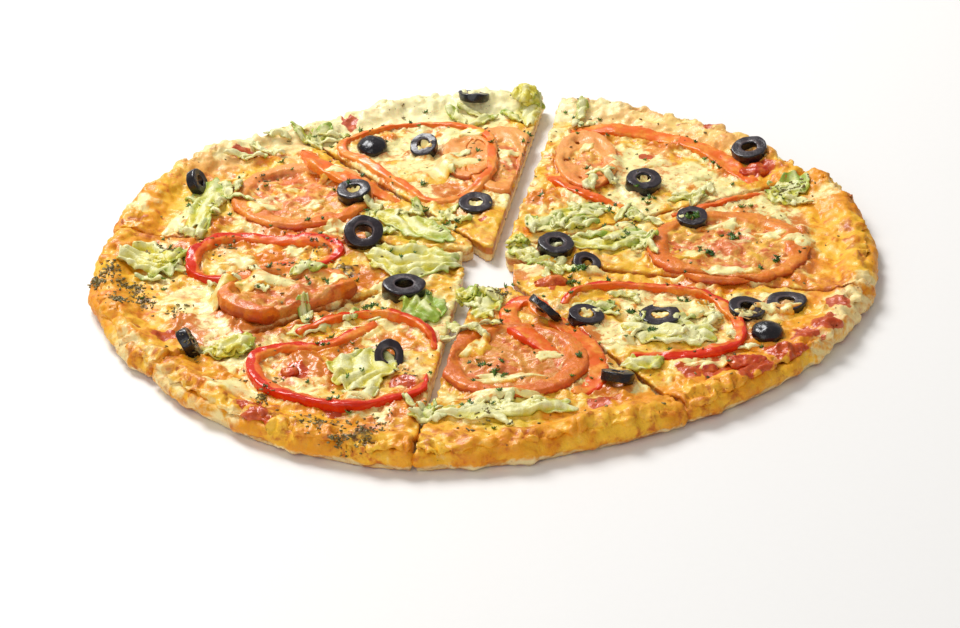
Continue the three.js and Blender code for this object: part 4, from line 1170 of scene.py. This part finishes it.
def cut_olive(index, spec, hole, chance, paint):
    """A slice of olive with the stone's hole, or the rounded end of one."""
    x, y, radius, thick, lean_x, lean_y, turn, cap = spec
    node = f"olive_{index:02d}"
    slope = math.radians(max(abs(lean_x), abs(lean_y)))
    half = radius * math.sin(slope) + thick / 2 * math.cos(slope)
    place = place_of(x, y)
    place.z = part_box(node)[1].z - (half + OLIVE_SUNK) * MM
    angles = [math.radians(angle) for angle in (lean_x, lean_y, turn)]
    oval = chance.uniform(0.94, 1.05)
    if cap:
        bpy.ops.mesh.primitive_uv_sphere_add(
            segments=28, ring_count=16, radius=radius * MM, location=place, rotation=angles,
            scale=(oval, 1 / oval, 0.62))
        piece = bpy.context.object
        edit(piece)
        take_all()
        bpy.ops.mesh.bisect(plane_co=(place.x, place.y, place.z - thick * 0.42 * MM), plane_no=(0, 0, 1),
                            clear_inner=True, use_fill=True)
    else:
        bpy.ops.mesh.primitive_cylinder_add(
            vertices=24, radius=radius * MM, depth=thick * MM, location=place, rotation=angles,
            scale=(oval, 1 / oval, 1))
        piece = bpy.context.object
        edit(piece, "FACE")
        pick(piece, lambda face: len(face.vertices) > 4)
        bpy.ops.mesh.inset(thickness=radius * (1 - hole) * MM)
        bpy.ops.mesh.bridge_edge_loops()
        take_all()
        bpy.ops.mesh.normals_make_consistent(inside=False)
    leave_edit()
    settle(piece)
    if not cap:
        modify(piece, "BEVEL", width=thick * 0.13 * MM, segments=3, limit_method="ANGLE",
               angle_limit=math.radians(50))
    modify(piece, "SUBSURF", levels=1, render_levels=1)
    roughen(piece, cloud(6, 1), 1.3 * MM)
    roughen(piece, cloud(2, 1), 0.25 * MM)
    axes = np.array(Euler(angles).to_matrix())
    local = (points(piece) - np.array(place)) @ axes / MM
    out = np.hypot(local[:, 0], local[:, 1]) / radius
    facing = np.abs(normals(piece) @ axes[:, 2])
    ring = 0 if cap else 1
    mark(piece, "cut", rise(facing, 0.6, 0.9) * ring)
    # Painted highlight round the stone's hole.
    mark(piece, "hole_highlight", (1 - rise(np.abs(out - hole - 0.1), 0.02, 0.1)) * ring)
    return finish_piece(piece, node + "_slice", paint, "olive", node)


def lay_leaf(at, size, turn, wave, tone, chance, look, lift, bleached=None):
    """A thin wavy cabbage leaf, its ribs and its ruffled edge, draped on what lies under it."""
    long, wide = size
    bpy.ops.mesh.primitive_grid_add(
        x_subdivisions=int(long / LEAF_GRAIN), y_subdivisions=int(wide / LEAF_GRAIN), size=1)
    piece = bpy.context.object
    places = points(piece)
    u, v = places[:, 0].copy(), places[:, 1].copy()
    start = chance.uniform(0, 6)
    rounding = np.sqrt(np.maximum(1 - np.abs(2 * u) ** 3 * 0.55, 0.05))
    fringe = 1 + 0.16 * np.sin(7 * u + start) + 0.08 * np.sin(17 * u + 2 * start) + 0.04 * np.sin(41 * u)
    along = u * long * (1 - 0.6 * v * v) * (1 + 0.08 * np.sin(11 * v + start))
    edge = np.maximum(np.abs(2 * u), np.abs(2 * v))
    x, y = turned(at, along, v * wide * rounding * fringe, turn)
    ruffle = waves(x, y, 5.5, start) * edge ** 3
    sway = 1.3 * np.sin(4.5 * u + start) + 0.7 * np.sin(10 * u + 2 * v + 2 * start)
    crest = 2 * np.abs(np.sin(math.pi * v * wide / look.fold * MM + sway)) - 1
    uneven = 0.5 * waves(x, y, 13, start) + 0.12 * waves(x, y, 2.6, start)
    curl = wave * (0.75 * crest + 0.6 * ruffle + uneven)
    branch = np.abs(np.mod((u + 0.4 * np.abs(v)) * long / 3.6 + 0.3 * crest, 1) - 0.5)
    rib = np.exp(-(v * wide / 1.6) ** 2) * (1 - rise(u, 0.2, 0.5))
    vein = np.maximum(rib, 0.7 * (1 - rise(branch, 0.04, 0.2)) * (1 - 0.5 * edge))
    ground = np.maximum(relief.at(x, y, relief.soft(1)), LOWEST_TOP)
    lay_out(piece, x, y, ground + lift + 0.45 * wave + curl * (1 - 0.5 * rise(edge, 0.8, 1)) + 0.2 * vein)
    mark(piece, "vein", vein)
    mark(piece, "crest", crest)
    mark(piece, "edge", edge ** 3)
    mark(piece, "tone", tone + 0.5 * u)
    mark(piece, "bleached", np.full(len(u), 0.7 - 0.75 * tone if bleached is None else bleached))
    modify(piece, "SOLIDIFY", thickness=look.thickness, offset=-1, use_even_offset=False)
    return piece


def shred_cabbage(chance, look):
    """Loose shreds of cabbage over the slices."""
    share = 0.62  # how many of the counted shreds are made
    off_the_pizza = 4.5
    shreds = []
    ground = relief.soft(7)
    for centre_x, centre_y, spread_x, spread_y, count, tone in SHREDS:
        for _ in range(max(2, round(share * count))):
            x = centre_x + chance.uniform(-1, 1) * spread_x
            y = centre_y + chance.uniform(-1, 1) * spread_y
            if relief.at(x, y, ground) < off_the_pizza:
                continue
            size = (chance.uniform(7, 18), chance.uniform(2.6, 5.6))
            green = min(max(tone + chance.uniform(-0.25, 0.3), 0), 1)
            turn = chance.uniform(0, 180)
            wave = chance.uniform(0.9, 1.9)
            lift = chance.uniform(0.2, 0.9)
            shreds.append(lay_leaf((x, y), size, turn, wave, green, chance, look, lift))
    return joined(shreds)


def heap_cabbage(at, size, turn, tone, chance, look):
    """A crumpled heap of small leaves, one over the other."""
    layers = []
    for layer in range(5):
        spot = [middle + chance.uniform(-0.15, 0.15) * side for middle, side in zip(at, size)]
        share = chance.uniform(0.6, 1.0)
        extent = (size[0] * share, size[1] * share)
        way = turn + chance.uniform(-50, 50)
        wave = chance.uniform(1.0, 1.7)
        green = tone + chance.uniform(-0.1, 0.25)
        layers.append(lay_leaf(spot, extent, way, wave, green, chance, look, 0.4 + 0.65 * layer, 0.2))
    return joined(layers)


def lay_chunk(at, size, turn, tone, chance):
    """A soft lump of tomato, rounded by the oven."""
    height = max(float(relief.at(*at, relief.soft(2))), float(relief.at(*at)), LOWEST_TOP + 0.5)
    bpy.ops.mesh.primitive_cube_add(
        size=1, location=place_of(*at, height + size[2] * 0.1), rotation=(0, 0, math.radians(turn)),
        scale=[side * MM for side in size])
    piece = bpy.context.object
    settle(piece)
    edit(piece)
    take_all()
    bpy.ops.mesh.subdivide(number_cuts=3, smoothness=0.55)
    leave_edit()
    modify(piece, "SUBSURF", levels=2, render_levels=2)
    roughen(piece, cloud(6, 2), 3.6 * MM)
    roughen(piece, cloud(2.2, 2), 1.3 * MM)
    mark(piece, "tone", tone + 0.3 * waves(*plan_of(points(piece)), 6, chance.uniform(0, 6)))
    return piece


def melt_pool(at, size, turn, thick, chance):
    """A soft pool of cheese that melted over what lies under it."""
    bpy.ops.mesh.primitive_grid_add(x_subdivisions=22, y_subdivisions=22, size=2)
    piece = bpy.context.object
    u, v, _ = points(piece).T
    east, north = u * np.sqrt(1 - v * v / 2), v * np.sqrt(1 - u * u / 2)
    out = np.hypot(east, north)
    angle = np.arctan2(north, east)
    start = chance.uniform(0, 6)
    ragged = 1 + 0.2 * np.sin(3 * angle + start) + 0.12 * np.sin(5 * angle + 2 * start)
    ragged += 0.08 * np.sin(8 * angle)
    x, y = turned(at, east * ragged * size[0] / 2, north * ragged * size[1] / 2, turn)
    swell = thick * (1 - out ** 4) + 0.35 * (1 - out ** 2) * waves(x, y, 6, start) - 0.5 * out ** 6
    lay_out(piece, x, y, np.maximum(relief.at(x, y, relief.soft(1)), LOWEST_TOP) + swell)
    mark(piece, "cream", 0.8 - 0.8 * out)
    mark(piece, "oil", 0.25 + 0.5 * out ** 3)
    mark(piece, "strand", np.full(len(u), 0.6))
    modify(piece, "SOLIDIFY", thickness=0.8 * MM, offset=-1, use_even_offset=False)
    return piece


def parsley_leaf():
    """One chopped bit of parsley with ragged lobes."""
    lobes = [1.25, 0.7, 1.1, 0.55, 1.3, 0.6, 1.0, 0.5, 1.2, 0.65, 0.95, 0.6]
    bpy.ops.mesh.primitive_circle_add(
        vertices=len(lobes), radius=1 * MM, fill_type="NGON", location=(0, 0, 0))
    leaf = bpy.context.object
    places = points(leaf)
    for index, lobe in enumerate(lobes):
        places[index] *= lobe
        places[index, 2] = 0.25 * MM * ((-1) ** index)
    set_points(leaf, places)
    edit(leaf, "FACE")
    take_all()
    bpy.ops.mesh.extrude_region_move(TRANSFORM_OT_translate={"value": (0, 0, 0.28 * MM)})
    take_all()
    bpy.ops.mesh.normals_make_consistent(inside=False)
    leave_edit()
    return leaf


def sprinkle(model, spots, sizes, tilt, chance, lift):
    """Copies of a small model, one at each spot, lying on what is under them."""
    off_the_pizza = 4
    bits = []
    for x, y in spots:
        z = float(relief.at(x, y))
        if z < off_the_pizza:
            continue
        bit = bpy.data.objects.new("bit", model.data.copy())
        bpy.context.scene.collection.objects.link(bit)
        size = chance.uniform(*sizes)
        shape = Matrix.Diagonal((size * chance.uniform(0.7, 1.4), size * chance.uniform(0.6, 1.0), size, 1))
        turn = Matrix.Rotation(chance.uniform(0, 6.3), 4, "Z")
        for axis in "XY":
            turn = turn @ Matrix.Rotation(chance.uniform(-tilt, tilt), 4, axis)
        bit.data.transform(Matrix.Translation(place_of(x, y, z + lift)) @ turn @ shape)
        bits.append(bit)
    bpy.data.objects.remove(model)
    return joined(bits)


# ---- Operators ----

class PIZZA_OT_dough(bpy.types.Operator):
    """Bakes the dough of the eight slices"""
    bl_idname = "pizza.dough"
    bl_label = "Bake the dough"

    def execute(self, context):
        look = context.scene.pizza_dough
        paint = dough_paint(look)
        for side in SIDES:
            relief.add(bake_dough(side, look, paint))
        return {"FINISHED"}


class PIZZA_OT_cheese(bpy.types.Operator):
    """Melts the cheese over the eight slices"""
    bl_idname = "pizza.cheese"
    bl_label = "Melt the cheese"

    def execute(self, context):
        look = context.scene.pizza_cheese
        dough = context.scene.pizza_dough
        paint = cheese_paint(look, context.scene.pizza_greens, dough)
        grated.add_strands(look.strands, random.Random(7))
        for side in SIDES:
            relief.add(melt_cheese(side, look, dough, paint))
        return {"FINISHED"}


class PIZZA_OT_tomatoes(bpy.types.Operator):
    """Lays the tomato slices"""
    bl_idname = "pizza.tomatoes"
    bl_label = "Lay the tomatoes"

    def execute(self, context):
        look = context.scene.pizza_tomato
        paint = tomato_paint(look, context.scene.pizza_cheese)
        for index, (nodes, *form) in enumerate(TOMATOES):
            for node in nodes:
                piece = slice_tomato(node, *form, 1.7 * index, look, paint)
                relief.add(piece)
                toppings.add(piece)
        return {"FINISHED"}


class PIZZA_OT_cabbage(bpy.types.Operator):
    """Lays the cabbage leaves and shreds"""
    bl_idname = "pizza.cabbage"
    bl_label = "Lay the cabbage"

    def execute(self, context):
        look = context.scene.pizza_greens
        paint = cabbage_paint(look)
        chance = random.Random(5)
        shreds = finish_piece(shred_cabbage(chance, look), "cabbage_shreds", paint, "cabbage")
        leaves = []
        for name, at, size, turn, wave, tone, node in LEAVES:
            leaf = lay_leaf(at, size, turn, wave, tone, chance, look, 0.9 if node else 0.6)
            leaves.append(finish_piece(leaf, name, paint, "cabbage", *([node] if node else [])))
        for name, *heap in HEAPS:
            leaves.append(finish_piece(heap_cabbage(*heap, chance, look), name, paint, "cabbage"))
        relief.add(shreds, *leaves)
        return {"FINISHED"}


class PIZZA_OT_chunks(bpy.types.Operator):
    """Lays the chunks of tomato and the lumps of sauce"""
    bl_idname = "pizza.chunks"
    bl_label = "Lay the tomato chunks"

    def execute(self, context):
        paint = chunk_paint()
        chance = random.Random(8)
        for name, *chunk in CHUNKS:
            relief.add(finish_piece(lay_chunk(*chunk, chance), name, paint, "tomato"))
        return {"FINISHED"}


class PIZZA_OT_peppers(bpy.types.Operator):
    """Lays the strips and rings of pepper"""
    bl_idname = "pizza.peppers"
    bl_label = "Lay the peppers"

    def execute(self, context):
        paint = pepper_paint(context.scene.pizza_pepper)
        chance = random.Random(3)
        made = [cut_pepper(*strip, tone, chance, paint) for strip, tone in zip(PEPPERS, PEPPER_TONES)]
        relief.add(*made)
        toppings.add(*made)
        return {"FINISHED"}


class PIZZA_OT_olives(bpy.types.Operator):
    """Lays the olive slices"""
    bl_idname = "pizza.olives"
    bl_label = "Lay the olives"

    def execute(self, context):
        look = context.scene.pizza_olive
        paint = olive_paint(look)
        chance = random.Random(4)
        made = [cut_olive(index + 1, spec, look.hole, chance, paint) for index, spec in enumerate(OLIVES)]
        relief.add(*made)
        toppings.add(*made)
        return {"FINISHED"}


class PIZZA_OT_swell(bpy.types.Operator):
    """Lets the melted cheese climb the toppings and fill the olives"""
    bl_idname = "pizza.swell"
    bl_label = "Swell the cheese round the toppings"

    def execute(self, context):
        look = context.scene.pizza_cheese
        covered = (toppings.heights > 0).astype(float)
        close = toppings.blurred(covered, 2)
        for side in SIDES:
            piece = bpy.data.objects["cheese_layer_" + side]
            places = points(piece)
            x, y = plan_of(places)
            top = rise(normals(piece)[:, 2], 0.2, 0.6)
            beside = rise(toppings.at(x, y, close), 0.03, 0.5) * (0.75 + 0.35 * waves(x, y, 9))
            mark(piece, "beside", beside)
            climbed = places[:, 2] + top * beside * look.swell
            lid = toppings.at(x, y) * MM - CHEESE_OVERLAP * MM
            under = toppings.at(x, y, covered) > 0.5
            places[:, 2] = np.where(under, np.maximum(places[:, 2], np.minimum(climbed, lid)), climbed)
            set_points(piece, places)
            relief.add(piece)
        return {"FINISHED"}


class PIZZA_OT_pools(bpy.types.Operator):
    """Melts pools of cheese over the toppings"""
    bl_idname = "pizza.pools"
    bl_label = "Melt cheese on the toppings"

    def execute(self, context):
        chance = random.Random(9)
        pools = joined([melt_pool(*pool, chance) for pool in POOLS])
        relief.add(finish_piece(pools, "cheese_pools", bpy.data.materials["melted_cheese"], "cheese"))
        return {"FINISHED"}


class PIZZA_OT_herbs(bpy.types.Operator):
    """Sprinkles parsley and dried herbs"""
    bl_idname = "pizza.herbs"
    bl_label = "Sprinkle the herbs"

    def execute(self, context):
        look = context.scene.pizza_greens
        chance = random.Random(2)

        def about(spots):
            """As many places as counted round each spot."""
            return [(chance.gauss(x, spread * 0.5), chance.gauss(y, spread * 0.5))
                    for x, y, spread, count in spots for _ in range(count)]

        def anywhere(count, reach):
            """Places strewn over the whole pizza."""
            places = []
            for _ in range(count):
                angle = chance.uniform(0, math.tau)
                out = reach * math.sqrt(chance.uniform(0.01, 1))
                places.append((out * math.cos(angle), RIM_CENTRE[1] + out * math.sin(angle)))
            return places

        parsley = sprinkle(parsley_leaf(), about(PARSLEY) + anywhere(120, 140), (0.7, 1.5), 0.7, chance, 0.3)
        paint = herb_paint("chopped_parsley", look.parsley, PARSLEY_LIGHT)
        finish_piece(parsley, "parsley", paint, "cabbage")
        bpy.ops.mesh.primitive_ico_sphere_add(subdivisions=1, radius=0.42 * MM, location=(0, 0, 0))
        flake = bpy.context.object
        flake.data.transform(Matrix.Diagonal((1.4, 1, 0.45, 1)))
        flakes = sprinkle(flake, about(DRIED) + anywhere(300, 146), (0.4, 1.9), 0.5, chance, 0.15)
        paint = herb_paint("dried_herb", look.dried, DRIED_LIGHT)
        finish_piece(flakes, "dried_herbs", paint, "cabbage")
        return {"FINISHED"}


class PIZZA_OT_studio(bpy.types.Operator):
    """Sets up the floor, the lights and the camera"""
    bl_idname = "pizza.studio"
    bl_label = "Set up the studio"

    def execute(self, context):
        look = context.scene.pizza_studio
        bpy.ops.mesh.primitive_plane_add(size=12, location=(0, 0, -FLOOR_BELOW * MM))
        floor = context.object
        floor.name = "floor"
        paint = Paint("pale_floor")
        grain = paint.noise(3, 2)
        shade = paint.mix(grain.smooth(0.2, 0.8) * 0.12, tuple(look.floor), FLOOR_SHADE)
        floor.data.materials.append(paint.finish(shade, 0.6, paint.bump(grain, 0.02)))

        world = bpy.data.worlds.new("studio")
        context.scene.world = world
        world.use_nodes = True
        background = world.node_tree.nodes["Background"]
        background.inputs["Color"].default_value = (1.0, 0.995, 0.985, 1)
        background.inputs["Strength"].default_value = look.sky

        target = Vector((0, 0, 0))
        for name, place, size, power in [
            ("key_light", (-0.6, 0.85, 1.2), 0.7, look.key),
            ("fill_light", (-0.5, -1.2, 0.8), 1.2, look.fill),
        ]:
            bpy.ops.object.light_add(type="AREA", location=place)
            light = context.object
            light.name = name
            light.data.energy = power
            light.data.size = size
            light.rotation_mode = "QUATERNION"
            light.rotation_quaternion = (target - Vector(place)).to_track_quat("-Z", "Y")

        bpy.ops.object.camera_add()
        camera = context.object
        camera.name = "camera"
        camera.data.lens = CAMERA_LENS
        camera.data.sensor_width = 36
        camera.data.clip_start, camera.data.clip_end = 0.05, 50
        at, aim = Vector(CAMERA_AT) * MM, Vector(CAMERA_TARGET) * MM
        ahead = (aim - at).normalized()
        right = ahead.cross(Vector((0, 0, 1))).normalized()
        up = right.cross(ahead)
        cosine, sine = math.cos(CAMERA_ROLL), math.sin(CAMERA_ROLL)
        across, above = cosine * right + sine * up, cosine * up - sine * right
        camera.matrix_world = Matrix.Translation(at) @ Matrix((across, above, -ahead)).transposed().to_4x4()
        context.scene.camera = camera
        context.scene.view_settings.view_transform = "Standard"
        context.scene.view_settings.look = "None"
        return {"FINISHED"}


class PIZZA_PT_panel(bpy.types.Panel):
    """The steps of baking the pizza, in their order"""
    bl_idname = "PIZZA_PT_panel"
    bl_label = "Pizza"
    bl_space_type = "VIEW_3D"
    bl_region_type = "UI"
    bl_category = "Pizza"

    def draw(self, context):
        for group in GROUPS:
            settings = getattr(context.scene, group)
            box = self.layout.box()
            for key in settings.bl_rna.properties.keys():
                if key not in ("rna_type", "name"):
                    box.prop(settings, key)
        for step in STEPS:
            self.layout.operator(step.bl_idname)


GROUPS = {
    "pizza_dough": PizzaDough, "pizza_cheese": PizzaCheese, "pizza_tomato": PizzaTomato,
    "pizza_pepper": PizzaPepper, "pizza_olive": PizzaOlive, "pizza_greens": PizzaGreens,
    "pizza_studio": PizzaStudio,
}
STEPS = [
    PIZZA_OT_dough, PIZZA_OT_cheese, PIZZA_OT_tomatoes, PIZZA_OT_cabbage, PIZZA_OT_chunks, PIZZA_OT_peppers,
    PIZZA_OT_olives, PIZZA_OT_swell, PIZZA_OT_pools, PIZZA_OT_herbs, PIZZA_OT_studio,
]


def register():
    for group, settings in GROUPS.items():
        bpy.utils.register_class(settings)
        setattr(bpy.types.Scene, group, PointerProperty(type=settings))
    for step in (*STEPS, PIZZA_PT_panel):
        bpy.utils.register_class(step)


def unregister():
    for step in (PIZZA_PT_panel, *reversed(STEPS)):
        bpy.utils.unregister_class(step)
    for group, settings in GROUPS.items():
        delattr(bpy.types.Scene, group)
        bpy.utils.unregister_class(settings)


def main():
    register()
    for step in STEPS:
        family, name = step.bl_idname.split(".")
        getattr(getattr(bpy.ops, family), name)()


if __name__ == "__main__":
    main()
